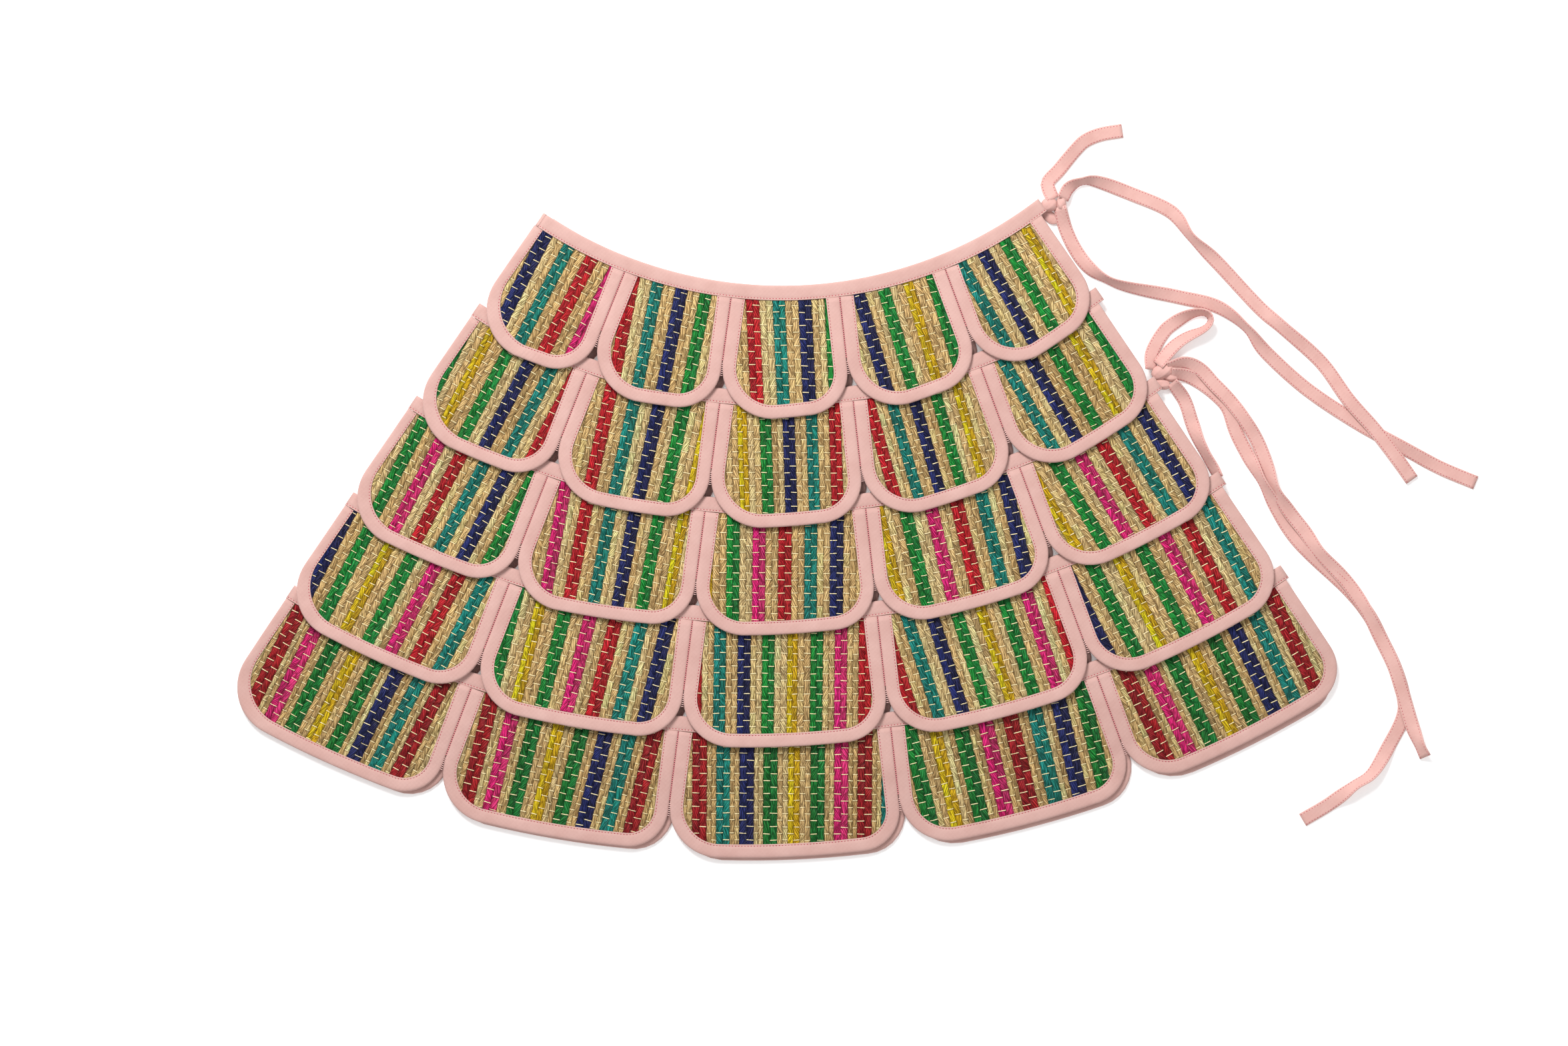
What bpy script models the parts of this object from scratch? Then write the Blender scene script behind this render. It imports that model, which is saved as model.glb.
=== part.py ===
"""A tiered wrap skirt of striped straw mat, laid flat.

Five tiers of five scalloped mat panels, each bound in cotton tape, hang from a waistband. The
skirt lies folded at its left edge, so a back half lies under the front half, and its ribbon ties
lie on the surface to the right. +X is right, +Y is towards the waist and +Z is up.
"""
import math

import bmesh
import bpy
import numpy as np

# The fan that the skirt is cut on: every seam points at one centre, far above the waist
FAN_CENTRE_Y = 0.5128
SEAM_DEGREES = {
    # tier: the six seams, from the left edge to the right edge
    1: (-34.1, -21.34, -7.61, 6.07, 19.88, 34.0),
    2: (-34.2, -21.2, -7.33, 6.3, 19.87, 33.8),
    3: (-34.2, -21.1, -7.4, 6.35, 20.08, 33.7),
    4: (-34.05, -20.9, -7.27, 6.33, 20.1, 33.85),
    5: (-33.85, -20.78, -7.27, 6.4, 20.15, 33.92),
}
BACK_SEAM_INSET = (0.2, 0.0, 0.0, 0.0, 0.0, -0.7)
SIGHT_ANGLES = np.radians((-27.6, -0.5, 27.2))
LEFT_PANEL = np.radians((-34.0, -21.1))
PANELS = 5
TIERS = 5

# Distance of the waist and of each tier's hem from the fan's centre, along three sight lines
EDGE_RADII = {
    # edge: (left, middle, right)
    "waist": (0.3121, 0.3100, 0.3052),
    "hem 1": (0.4080, 0.4033, 0.3980),
    "hem 2": (0.4860, 0.4796, 0.4730),
    "hem 3": (0.5668, 0.5550, 0.5508),
    "hem 4": (0.6458, 0.6340, 0.6303),
    "hem 5": (0.7265, 0.7120, 0.7078),
}

# Each hem's rise at the left edge, and how far a tier starts above the hem that covers it
LEFT_RISE = {1: 0.0, 2: 0.0, 3: 0.003, 4: 0.004, 5: 0.005}
TIER_OVERLAP = {2: 0.0190, 3: 0.0190, 4: 0.0181, 5: 0.0186}
BACK_SHIFT = (0.004, -0.002)

# Widths and round corners in the plane of the cloth
BAND_WIDTH = 0.0106
BINDING_WIDTH = 0.0098
LEFT_EDGE_SHARE = 0.74
LEFT_CORNER = {1: 0.0360, 2: 0.0360, 3: 0.0345, 4: 0.0345, 5: 0.0355}
RIGHT_CORNER = {1: 0.0300, 2: 0.0305, 3: 0.0300, 4: 0.0310, 5: 0.0285}
BAND_OVERHANG = {1: 0.0045, 2: 0.0042, 3: 0.0041, 4: 0.0030, 5: 0.0022}
WAIST_FOLD_INSET = 0.0030
SEAM_GAP = 0.0003

# Wall thicknesses and heights above the surface that the skirt lies on
MAT_WALL = 0.0024
TAPE_WALL = 0.0030
LAYER = TAPE_WALL + SEAM_GAP
FRONT_BASE = 2 * LAYER
TIER_SLOPE = 0.047
WAIST_EASE = 0.060
HEM_EASE_START = 0.016
HEM_EASE = 0.050
BACK_RAMP_START = 0.001
BACK_RAMP = 0.012

# How finely the outlines are stepped
CORNER_STEPS = 4
PANEL_COLUMNS = 3
FRONT_LEG_STEPS = {1: 3, 2: 2, 3: 2, 4: 2, 5: 3}

# Ribbon ties: wall and widths, flat, turned on edge and gathered at a knot
RIBBON_WALL = 0.0015
RIBBON_STEP = 0.017
MM = 0.001
FLAT, TURNED, NECK = 9.5, 5.0, 4.8
UNDER, OVER, RAISED = 0.0, 1.8, 3.0
KNOT_WAIST = 0.38

KNOTS = {
    # name: (centre x, centre y, half length, half width, height) in mm, turned by (degrees)
    "tie_knot_upper": (186.1, 261.3, 9.4, 5.6, 9.0, 0.0),
    "tie_knot_lower": (261.8, 137.1, 10.8, 6.6, 9.0, -56.0),
}

# Each ribbon's middle line as it lies, (x, y, height, width) in mm; it starts at its knot
RIBBONS = {
    "tie_short_tail": (
        (183, 267.5, RAISED, NECK), (181, 275, UNDER, FLAT), (188, 284, UNDER, FLAT),
        (194.5, 292, UNDER, FLAT), (200.5, 299, UNDER, FLAT), (207, 305, UNDER, FLAT),
        (218, 309.5, UNDER, FLAT), (233, 312, UNDER, FLAT),
    ),
    "tie_long_upper": (
        (191.8, 266.5, RAISED, NECK), (197, 273, UNDER, FLAT), (205, 277, UNDER, TURNED),
        (215, 276, UNDER, FLAT), (238, 266, UNDER, FLAT), (267, 255, UNDER, FLAT),
        (281, 237, UNDER, TURNED), (300, 219, UNDER, FLAT), (329, 188, UNDER, FLAT),
        (346, 173, UNDER, FLAT), (373, 149, UNDER, FLAT), (392, 122.5, OVER, FLAT),
        (411, 101, OVER, FLAT), (427, 80, OVER, FLAT), (437, 66, UNDER, FLAT),
    ),
    "tie_long_lower": (
        (189, 255, RAISED, NECK), (193, 243, UNDER, FLAT), (199.5, 229, UNDER, FLAT),
        (209, 216, UNDER, FLAT), (221, 207.5, UNDER, TURNED), (236, 202, UNDER, TURNED),
        (272, 195, UNDER, FLAT), (300, 188, UNDER, FLAT), (320, 173, UNDER, TURNED),
        (334, 156, UNDER, FLAT), (363, 130, UNDER, FLAT), (399, 106, UNDER, FLAT),
        (430, 89, UNDER, FLAT), (456, 75, UNDER, FLAT), (482, 64, UNDER, FLAT),
    ),
    "tie_bow_loop": (
        (251.5, 145, RAISED, NECK), (254, 157, UNDER, FLAT), (262, 170, UNDER, FLAT),
        (270, 177, UNDER, FLAT), (279, 182, UNDER, TURNED), (287, 184, UNDER, TURNED),
        (292.5, 183, UNDER, TURNED), (295, 179, UNDER, TURNED), (293, 174.5, UNDER, TURNED),
        (288, 171, UNDER, TURNED), (281, 168, UNDER, TURNED), (274, 164, UNDER, TURNED),
        (267, 158, UNDER, TURNED), (258, 149, RAISED, NECK),
    ),
    "tie_upper_strand": (
        (264.5, 146.4, RAISED, NECK), (276.5, 149, RAISED, NECK), (287.5, 144, OVER, FLAT),
        (297, 134, OVER, FLAT), (308, 122.5, OVER, FLAT), (319, 108, OVER, FLAT),
        (328, 93, OVER, FLAT), (334.5, 76, OVER, FLAT), (340, 59, OVER, TURNED),
        (350, 44, OVER, FLAT), (361, 30, OVER, FLAT), (371, 15, OVER, FLAT),
        (391, -6, OVER, FLAT),
        (405, -27, OVER, FLAT), (415, -46, OVER, FLAT), (424, -65, OVER, FLAT),
        (430.5, -85, OVER, FLAT), (436.5, -106, OVER, FLAT), (441.5, -120, 1.2, FLAT),
        (446, -129, UNDER, FLAT),
    ),
    "tie_lower_strand": (
        (269.7, 139.8, RAISED, NECK), (278, 138.5, UNDER, NECK), (288, 134, UNDER, FLAT),
        (298, 127, UNDER, FLAT), (307, 117, UNDER, FLAT), (313, 100, UNDER, FLAT),
        (321, 84, UNDER, FLAT), (331, 65, UNDER, TURNED), (341, 47, UNDER, FLAT),
        (352, 29, UNDER, FLAT), (366, 13, UNDER, FLAT), (391, -10, UNDER, FLAT),
        (406, -28, UNDER, FLAT), (416, -47, UNDER, FLAT), (425, -66, UNDER, FLAT),
        (431, -86, UNDER, FLAT), (431, -100, UNDER, FLAT), (422, -119, UNDER, FLAT),
        (409, -140, UNDER, TURNED), (396, -149, UNDER, TURNED), (380, -161.5, UNDER, FLAT),
        (360, -173.5, UNDER, FLAT),
    ),
    "tie_tucked_strand": (
        (270.7, 129.8, RAISED, NECK), (277.5, 121, UNDER, FLAT), (281.5, 108, UNDER, FLAT),
        (285.5, 96, UNDER, TURNED), (291.5, 84, UNDER, TURNED), (297, 74.5, UNDER, TURNED),
        (300.5, 67.5, UNDER, TURNED),
    ),
}

FINISHES = {
    # name: (base colour, roughness)
    "straw_mat": ((0.58, 0.40, 0.19, 1.0), 0.55),
    "cotton_binding": ((0.80, 0.48, 0.42, 1.0), 0.85),
    "cotton_ribbon": ((0.88, 0.72, 0.68, 1.0), 0.80),
}


def clear_scene():
    for item in list(bpy.data.objects):
        bpy.data.objects.remove(item, do_unlink=True)


def finish(name):
    material = bpy.data.materials.get(name)
    if material is None:
        colour, roughness = FINISHES[name]
        material = bpy.data.materials.new(name)
        material.use_nodes = True
        shader = material.node_tree.nodes["Principled BSDF"]
        shader.inputs["Base Color"].default_value = colour
        shader.inputs["Roughness"].default_value = roughness
        shader.inputs["Metallic"].default_value = 0.0
    return material


def add_piece(name, mesh, collection, finish_name):
    mesh.name = name
    mesh.materials.append(finish(finish_name))
    piece = bpy.data.objects.new(name, mesh)
    collection.objects.link(piece)
    return piece


def add_wall(piece, thickness):
    """An open surface that faces up becomes a wall that rises from it."""
    solidify = piece.modifiers.new("wall", "SOLIDIFY")
    solidify.thickness = thickness
    solidify.offset = 1.0
    solidify.use_even_offset = True
    solidify.use_rim = True


def edge_radius(edge, angle):
    """The parabola through an edge's three radii, read at any angle."""
    radii = EDGE_RADII[edge]
    total = 0.0
    for i in range(3):
        weight = 1.0
        for j in range(3):
            if j != i:
                weight = weight * (angle - SIGHT_ANGLES[j]) / (SIGHT_ANGLES[i] - SIGHT_ANGLES[j])
        total = total + radii[i] * weight
    return total


def hem_radius(tier, angle):
    """A tier's hem, which rises a little across its first panel, towards the left edge."""
    share = np.clip((LEFT_PANEL[1] - angle) / (LEFT_PANEL[1] - LEFT_PANEL[0]), 0.0, 1.0)
    return edge_radius(f"hem {tier}", angle) - LEFT_RISE[tier] * share


def top_radius(tier, angle):
    """A lower tier starts under the hem of the tier above it."""
    if tier == 1:
        return edge_radius("waist", angle)
    return hem_radius(tier - 1, angle) - TIER_OVERLAP[tier]


def ease(distance, run):
    """0 before a run, 1 after it and an even S between."""
    share = np.clip(distance / run, 0.0, 1.0)
    return share * share * (3.0 - 2.0 * share)


def seam_angles(tier):
    return np.radians(SEAM_DEGREES[tier])


def back_seam_angles(tier):
    """The back half is cut a little narrower, so that its sides stay under the front."""
    return seam_angles(tier) + np.radians(BACK_SEAM_INSET)


def front_height(tier, radius, angle):
    """Front tiers lie as shingles; the first sinks to the waist and the last to its hem."""
    run = radius - top_radius(tier, angle)
    if tier == TIERS:
        past_back = radius - hem_radius(tier - 1, angle) - HEM_EASE_START
        return FRONT_BASE - LAYER * ease(past_back, HEM_EASE)
    height = FRONT_BASE + TIER_SLOPE * run
    if tier == 1:
        height = height - LAYER * (1.0 - ease(run, WAIST_EASE))
    return height


def back_height(tier, radius, angle):
    """Back tiers lie flat, and their tops step up over the hem of the tier before."""
    if tier == 1:
        return 0.0 * radius
    past_hem = radius - hem_radius(tier - 1, angle) - BACK_RAMP_START
    return LAYER * (1.0 - np.clip(past_hem / BACK_RAMP, 0.0, 1.0))


def radial(angle):
    return np.array((math.sin(angle), math.cos(angle)))


def square(angle):
    return np.array((math.cos(angle), -math.sin(angle)))


def corner_start(tier, angle, beside, margin, round_radius):
    """Where a leg ends and its corner starts, and the lean of the corner's last point."""
    inset = beside + round_radius
    reach = hem_radius(tier, angle) - margin - round_radius
    return math.sqrt(reach ** 2 - inset ** 2), math.asin(inset / reach)


def side_points(tier, angle, side, margin, legs, share=1.0):
    """One side of a panel, in the fan's plane: a straight leg beside the seam, then a round corner.

    side is +1 for a panel's left side and -1 for its right side. legs gives the radii of the
    leg's points, without the last one that both sides of a seam share: there the left corner
    starts, and the leg of the sharper right corner goes on by one point. share narrows the margin
    beside the seam. The corner tightens as the margin grows, so the tape keeps its width round it.
    """
    beside = margin * share
    tightening = margin * (2.0 * share - 1.0)
    round_radius, steps = LEFT_CORNER[tier] - tightening, CORNER_STEPS + 1
    shared_end = corner_start(tier, angle, beside, margin, round_radius)[0]
    stations = list(legs(tier, angle, shared_end)) + [shared_end]
    if side < 0:
        round_radius, steps = RIGHT_CORNER[tier] - tightening, CORNER_STEPS
    leg_end, lean = corner_start(tier, angle, beside, margin, round_radius)
    if side < 0:
        stations.append(leg_end)
    points = [station * radial(angle) + side * beside * square(angle) for station in stations]
    centre = leg_end * radial(angle) + side * (beside + round_radius) * square(angle)
    start = angle - side * math.pi / 2
    sweep = side * (math.pi / 2 + lean)
    for step in range(1, steps + 1):
        points.append(centre + round_radius * radial(start + sweep * step / steps))
    return np.array(points)


def panel_sides(tier, panel, margin, legs, seams):
    """Both sides of a panel; the tape is narrower along the skirt's left edge."""
    share = LEFT_EDGE_SHARE if panel == 0 else 1.0
    left = side_points(tier, seams[panel], 1, margin, legs, share)
    right = side_points(tier, seams[panel + 1], -1, margin, legs)
    return left, right


def front_legs(tier, angle, leg_end):
    top = top_radius(tier, angle) + BAND_WIDTH + SEAM_GAP
    steps = FRONT_LEG_STEPS[tier]
    return [top + (leg_end - top) * step / steps for step in range(steps)]


def back_legs(tier, angle, leg_end):
    top = top_radius(tier, angle) + BAND_WIDTH + SEAM_GAP
    if tier == 1:
        return [top]
    ramp = hem_radius(tier - 1, angle) + BACK_RAMP_START
    return [top, ramp, min(ramp + BACK_RAMP, leg_end - BACK_RAMP / 4)]


def across(left, right, columns=PANEL_COLUMNS):
    """Rows of points from one side to the other, each an arc about the fan's centre."""
    shares = np.linspace(0.0, 1.0, columns + 1)[None, :]
    radii = [np.hypot(side[:, 0], side[:, 1])[:, None] for side in (left, right)]
    angles = [np.arctan2(side[:, 0], side[:, 1])[:, None] for side in (left, right)]
    radius = radii[0] * (1 - shares) + radii[1] * shares
    angle = angles[0] * (1 - shares) + angles[1] * shares
    return radius, angle


def place(radius, angle, height, shift=(0.0, 0.0)):
    x = radius * np.sin(angle) + shift[0]
    y = FAN_CENTRE_Y - radius * np.cos(angle) + shift[1]
    return np.stack((x, y, height + 0.0 * radius), axis=-1)


def add_grid(shape, points):
    """A grid of points becomes a sheet of quads."""
    verts = [[shape.verts.new(point) for point in row] for row in points]
    for upper, lower in zip(verts[:-1], verts[1:]):
        for i in range(len(upper) - 1):
            shape.faces.new((upper[i], lower[i], lower[i + 1], upper[i + 1]))


def sheet_mesh(grids):
    """Sheets that share a seam are welded there, and all of them face up."""
    shape = bmesh.new()
    for points in grids:
        add_grid(shape, points)
    bmesh.ops.remove_doubles(shape, verts=shape.verts, dist=0.00002)
    bmesh.ops.recalc_face_normals(shape, faces=shape.faces)
    shape.faces.ensure_lookup_table()
    if sum(face.normal.z for face in shape.faces) < 0.0:
        bmesh.ops.reverse_faces(shape, faces=shape.faces)
    mesh = bpy.data.meshes.new("sheet")
    shape.to_mesh(mesh)
    shape.free()
    return mesh


def make_mat_panel(tier, panel, collection):
    margin = BINDING_WIDTH + SEAM_GAP / 2
    left, right = panel_sides(tier, panel, margin, front_legs, seam_angles(tier))
    radius, angle = across(left, right)
    height = front_height(tier, radius, angle) + (TAPE_WALL - MAT_WALL) / 2
    mesh = sheet_mesh([place(radius, angle, height)])
    piece = add_piece(f"mat_t{tier}_p{panel + 1}", mesh, collection, "straw_mat")
    add_wall(piece, MAT_WALL)


def u_path(tier, panel, margin):
    """Down a panel's left side, along its hem and up its right side."""
    left, right = panel_sides(tier, panel, margin, front_legs, seam_angles(tier))
    radius, angle = across(left, right)
    hem = np.stack((radius[-1] * np.sin(angle[-1]), radius[-1] * np.cos(angle[-1])), axis=-1)
    return np.concatenate((left, hem[1:-1], right[::-1]))


def make_binding(tier, collection):
    """The tape round all five panels of a tier, sewn together along the seams."""
    grids = []
    for panel in range(PANELS):
        inner = u_path(tier, panel, BINDING_WIDTH - SEAM_GAP / 2)
        outer = u_path(tier, panel, 0.0)
        strip = np.stack((inner, outer))
        radius = np.hypot(strip[..., 0], strip[..., 1])
        angle = np.arctan2(strip[..., 0], strip[..., 1])
        grids.append(place(radius, angle, front_height(tier, radius, angle)))
    piece = add_piece(f"binding_t{tier}", sheet_mesh(grids), collection, "cotton_binding")
    add_wall(piece, TAPE_WALL)


def band_grid(tier, height_of, seams, overhang, shift=(0.0, 0.0)):
    shares = np.arange(PANEL_COLUMNS) / PANEL_COLUMNS
    angle = (seams[:-1, None] + np.diff(seams)[:, None] * shares).ravel()
    angle = np.append(angle, seams[-1])
    if tier == 1:
        angle[0] += WAIST_FOLD_INSET / top_radius(tier, seams[0])
    if overhang:
        angle = np.append(angle, seams[-1] + overhang / top_radius(tier, seams[-1]))
    angle = angle[None, :]
    radius = top_radius(tier, angle) + np.array((0.0, BAND_WIDTH))[:, None]
    angle = angle + 0.0 * radius
    return place(radius, angle, height_of(tier, radius, angle), shift)


def make_front_band(tier, collection):
    """The tape along a tier's top edge; on the first tier it is the waistband."""
    grid = band_grid(tier, front_height, seam_angles(tier), BAND_OVERHANG[tier])
    name = f"band_front_t{tier}"
    if tier == 1:
        name = "waistband_front"
        folded = grid[:, :1].copy()
        folded[..., 2] = 0.0
        grid = np.concatenate((folded, grid), axis=1)
    piece = add_piece(name, sheet_mesh([grid]), collection, "cotton_binding")
    add_wall(piece, TAPE_WALL)


def make_back_band(tier, collection):
    grid = band_grid(tier, back_height, back_seam_angles(tier), 0.0, BACK_SHIFT)
    name = "waistband_back" if tier == 1 else f"band_back_t{tier}"
    piece = add_piece(name, sheet_mesh([grid]), collection, "cotton_binding")
    add_wall(piece, TAPE_WALL)


def make_back_tier(tier, collection):
    """Five bound panels of the back half, flat side down, as one wall."""
    grids = []
    for panel in range(PANELS):
        left, right = panel_sides(tier, panel, 0.0, back_legs, back_seam_angles(tier))
        radius, angle = across(left, right)
        grids.append(place(radius, angle, back_height(tier, radius, angle), BACK_SHIFT))
    piece = add_piece(f"back_t{tier}", sheet_mesh(grids), collection, "straw_mat")
    add_wall(piece, TAPE_WALL)


def smooth_path(points):
    """A rounded curve through a ribbon's points, with its height and width, at even steps."""
    points = np.array(points) * MM
    first, last = 2 * points[0] - points[1], 2 * points[-1] - points[-2]
    framed = np.vstack((first, points, last))
    before, start, stop, after = (framed[i:i + len(points) - 1, None, :] for i in range(4))
    t = np.linspace(0.0, 1.0, 12, endpoint=False)[None, :, None]
    curve = 0.5 * (2 * start + (stop - before) * t
                   + (2 * before - 5 * start + 4 * stop - after) * t ** 2
                   + (3 * start - before - 3 * stop + after) * t ** 3)
    curve = np.vstack((curve.reshape(-1, 4), points[-1:]))
    steps_flat = np.linalg.norm(np.diff(curve[:, :2], axis=0), axis=1)
    run = np.concatenate(([0.0], np.cumsum(steps_flat)))
    steps = max(4, round(run[-1] / RIBBON_STEP))
    marks = np.linspace(0.0, run[-1], steps + 1)
    return np.stack([np.interp(marks, run, curve[:, k]) for k in range(4)], axis=1)


def make_ribbon(name, collection):
    """A strip along a path, narrow at its knot and where it turns on edge."""
    path = smooth_path(RIBBONS[name])
    ahead = np.gradient(path[:, :2], axis=0)
    ahead = ahead / np.linalg.norm(ahead, axis=1)[:, None]
    sideways = np.stack((-ahead[:, 1], ahead[:, 0]), axis=1)
    half = sideways * path[:, 3:4] / 2
    height = np.maximum(path[:, 2:3], 0.0)
    edges = [np.hstack((path[:, :2] + side * half, height)) for side in (1, -1)]
    piece = add_piece(name, sheet_mesh([np.array(edges)]), collection, "cotton_ribbon")
    add_wall(piece, RIBBON_WALL)


def make_knot(name, collection):
    """A low round lump of tightened ribbon, flat where it lies."""
    x, y, half_length, half_width, height = (size * MM for size in KNOTS[name][:5])
    cos, sin = math.cos(math.radians(KNOTS[name][5])), math.sin(math.radians(KNOTS[name][5]))
    shape = bmesh.new()
    bmesh.ops.create_uvsphere(shape, u_segments=14, v_segments=7, radius=1.0)
    for vert in shape.verts:
        along, over = vert.co.x * half_length, vert.co.y * half_width
        lift = height * (KNOT_WAIST + vert.co.z * (1.0 - KNOT_WAIST))
        vert.co = (x + along * cos - over * sin, y + along * sin + over * cos, max(lift, 0.0))
    bmesh.ops.remove_doubles(shape, verts=shape.verts, dist=0.00002)
    mesh = bpy.data.meshes.new(name)
    shape.to_mesh(mesh)
    shape.free()
    add_piece(name, mesh, collection, "cotton_ribbon")


def make_skirt():
    clear_scene()
    collection = bpy.data.collections.new("tiered_wrap_skirt")
    bpy.context.scene.collection.children.link(collection)
    for tier in range(1, TIERS + 1):
        make_front_band(tier, collection)
        make_binding(tier, collection)
        for panel in range(PANELS):
            make_mat_panel(tier, panel, collection)
        make_back_band(tier, collection)
        make_back_tier(tier, collection)
    for name in KNOTS:
        make_knot(name, collection)
    for name in RIBBONS:
        make_ribbon(name, collection)


make_skirt()
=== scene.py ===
"""Looks for a tiered wrap skirt of striped straw mat, laid flat.

Straw bundles, their cross threads, the cotton tape round every panel, its stitches and the ribbon
ties are surfaces worked out with numpy. +X is right, +Y is towards the waist and +Z is up, metres.
"""
import math

import bmesh
import bpy
import numpy as np
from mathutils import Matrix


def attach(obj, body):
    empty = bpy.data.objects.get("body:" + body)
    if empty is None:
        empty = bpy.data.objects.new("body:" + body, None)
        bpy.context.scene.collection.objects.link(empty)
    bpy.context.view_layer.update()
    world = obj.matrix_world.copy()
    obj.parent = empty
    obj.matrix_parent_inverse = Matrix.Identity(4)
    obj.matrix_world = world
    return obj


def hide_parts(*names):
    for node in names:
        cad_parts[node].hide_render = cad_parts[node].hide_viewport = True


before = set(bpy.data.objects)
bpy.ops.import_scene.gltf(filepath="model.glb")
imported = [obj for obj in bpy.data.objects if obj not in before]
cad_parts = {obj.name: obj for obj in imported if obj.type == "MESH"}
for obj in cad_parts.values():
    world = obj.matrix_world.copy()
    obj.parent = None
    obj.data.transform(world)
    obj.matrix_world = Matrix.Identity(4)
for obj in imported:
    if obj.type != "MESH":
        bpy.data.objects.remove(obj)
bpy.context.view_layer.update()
MM = 0.001

# The fan that the skirt is cut on, as in the part: seams point at one centre above the waist.
# Seams are in degrees and all else in metres; three radii are at the three sight angles.
FAN_CENTRE_Y = 0.5128
SEAM_DEGREES = {
    1: (-34.1, -21.34, -7.61, 6.07, 19.88, 34.0),
    2: (-34.2, -21.2, -7.33, 6.3, 19.87, 33.8),
    3: (-34.2, -21.1, -7.4, 6.35, 20.08, 33.7),
    4: (-34.05, -20.9, -7.27, 6.33, 20.1, 33.85),
    5: (-33.85, -20.78, -7.27, 6.4, 20.15, 33.92),
}
BACK_SEAM_INSET = (0.2, 0.0, 0.0, 0.0, 0.0, -0.7)
SIGHT_ANGLES = np.radians((-27.6, -0.5, 27.2))
LEFT_PANEL = np.radians((-34.0, -21.1))
PANELS = 5
TIERS = 5
WAIST_RADII = (0.3121, 0.3100, 0.3052)
HEM_RADII = {
    1: (0.4080, 0.4033, 0.3980),
    2: (0.4860, 0.4796, 0.4730),
    3: (0.5668, 0.5550, 0.5508),
    4: (0.6458, 0.6340, 0.6303),
    5: (0.7265, 0.7120, 0.7078),
}
LEFT_RISE = {1: 0.0, 2: 0.0, 3: 0.003, 4: 0.004, 5: 0.005}
TIER_OVERLAP = {2: 0.0190, 3: 0.0190, 4: 0.0181, 5: 0.0186}
BACK_SHIFT = np.array((0.004, -0.002))
BAND_WIDTH = 0.0106
TAPE_WIDTH = 0.0098
LEFT_EDGE_SHARE = 0.74
LEFT_CORNER = {1: 0.0360, 2: 0.0360, 3: 0.0345, 4: 0.0345, 5: 0.0355}
RIGHT_CORNER = {1: 0.0300, 2: 0.0305, 3: 0.0300, 4: 0.0310, 5: 0.0285}
BAND_OVERHANG = {1: 0.0045, 2: 0.0042, 3: 0.0041, 4: 0.0030, 5: 0.0022}
WAIST_FOLD_INSET = 0.0030
SEAM_GAP = 0.0003
LAYER = 0.0033
TIER_SLOPE = 0.047
WAIST_EASE = 0.060
HEM_EASE_START = 0.016
HEM_EASE = 0.050
BACK_RAMP_START = 0.001
BACK_RAMP = 0.012

# The mat: bundles of straw down a panel, each held by cross threads one cell apart
CELL = 0.0094
COLUMN_SHARES = np.array((0.0, 0.14, 0.375, 0.625, 0.86))
BACK_COLUMN_SHARES = np.array((0.0, 0.3, 0.7))
ROWS_PER_CELL = 6
BACK_ROWS_PER_CELL = 3

# A bundle's crown, as shares of its rise: what is left at its sides, how deep and wide (cells) a
# thread pinches it, how it swells between threads, how its boundaries sway and how rough it is
CROWN_LEAST = 0.32
CROWN_ROUND = 0.6
PINCH_DEPTH = 0.46
PINCH_WIDTH = 0.13
SWELL = 0.10
SWAY = 0.06
ROUGHNESS = (0.05, 0.08)
ROUGH_SHARE = 0.6

# Heights in a front mat, over the tier's underside: its flat backing, then the straw's rise where
# the tape presses it and where it is free, the run from one to the other, how far the mat goes on
# under the tape, and how far under it the run starts
STRAW_BACKING = 0.0004
STRAW_PRESSED = 0.0016
STRAW_RISE = 0.0023
STRAW_SWELL = 0.0026
STRAW_TUCK = 0.0036
STRAW_LEAD = 0.0006

# The back mats lie face down: their flat face is on top and the bundles hang from a level
BACK_STRAW_TOP = 0.0026
BACK_STRAW_LEVEL = 0.0022
BACK_STRAW_PRESSED = 0.0006
BACK_STRAW_LEAST = 0.0004
BACK_STRAW_RISE = 0.0018

# Cross threads: shares of a thread's half length where it has a ring, and its half thickness
THREAD_SHARES = np.array((-0.80, 0.0, 0.80))
THREAD_HALF = 0.00034
BACK_THREAD_SHARES = np.array((-0.55, 0.55))
BACK_THREAD_HALF = 0.00030
# Heights of a thread's rings and tips over the underside, before the bundle's crown
THREAD_BASE = 0.00052
THREAD_TIP = 0.0016
BACK_THREAD_BASE = 0.0016
BACK_THREAD_TIP = 0.0014
# How far threads stray down a panel (cells) and tilt, how far they reach past their bundle's
# middle (shares of its half width), and how near the tape one may lie
THREAD_STRAY = 0.035
THREAD_TILT = 0.07
THREAD_REACH = (1.02, 1.20)
THREAD_MARGIN = 0.0003

UP = np.array((0.0, 0.0, 1.0))

# Stitches: how far apart, then length and width, and how deep one is sunk (share of half its width)
STITCH_PITCH = 0.0022
TAPE_STITCH = (0.0015, 0.00060)
RIBBON_STITCH = (0.0015, 0.00056)
SEAM_STITCH = (0.0020, 0.00075)
SEAM_BAR = (0.0034, 0.00050)
DASH_SINK = 0.6

# Points nearer than this are one, as at a knot's poles
WELD_DISTANCE = 0.00001

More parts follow.
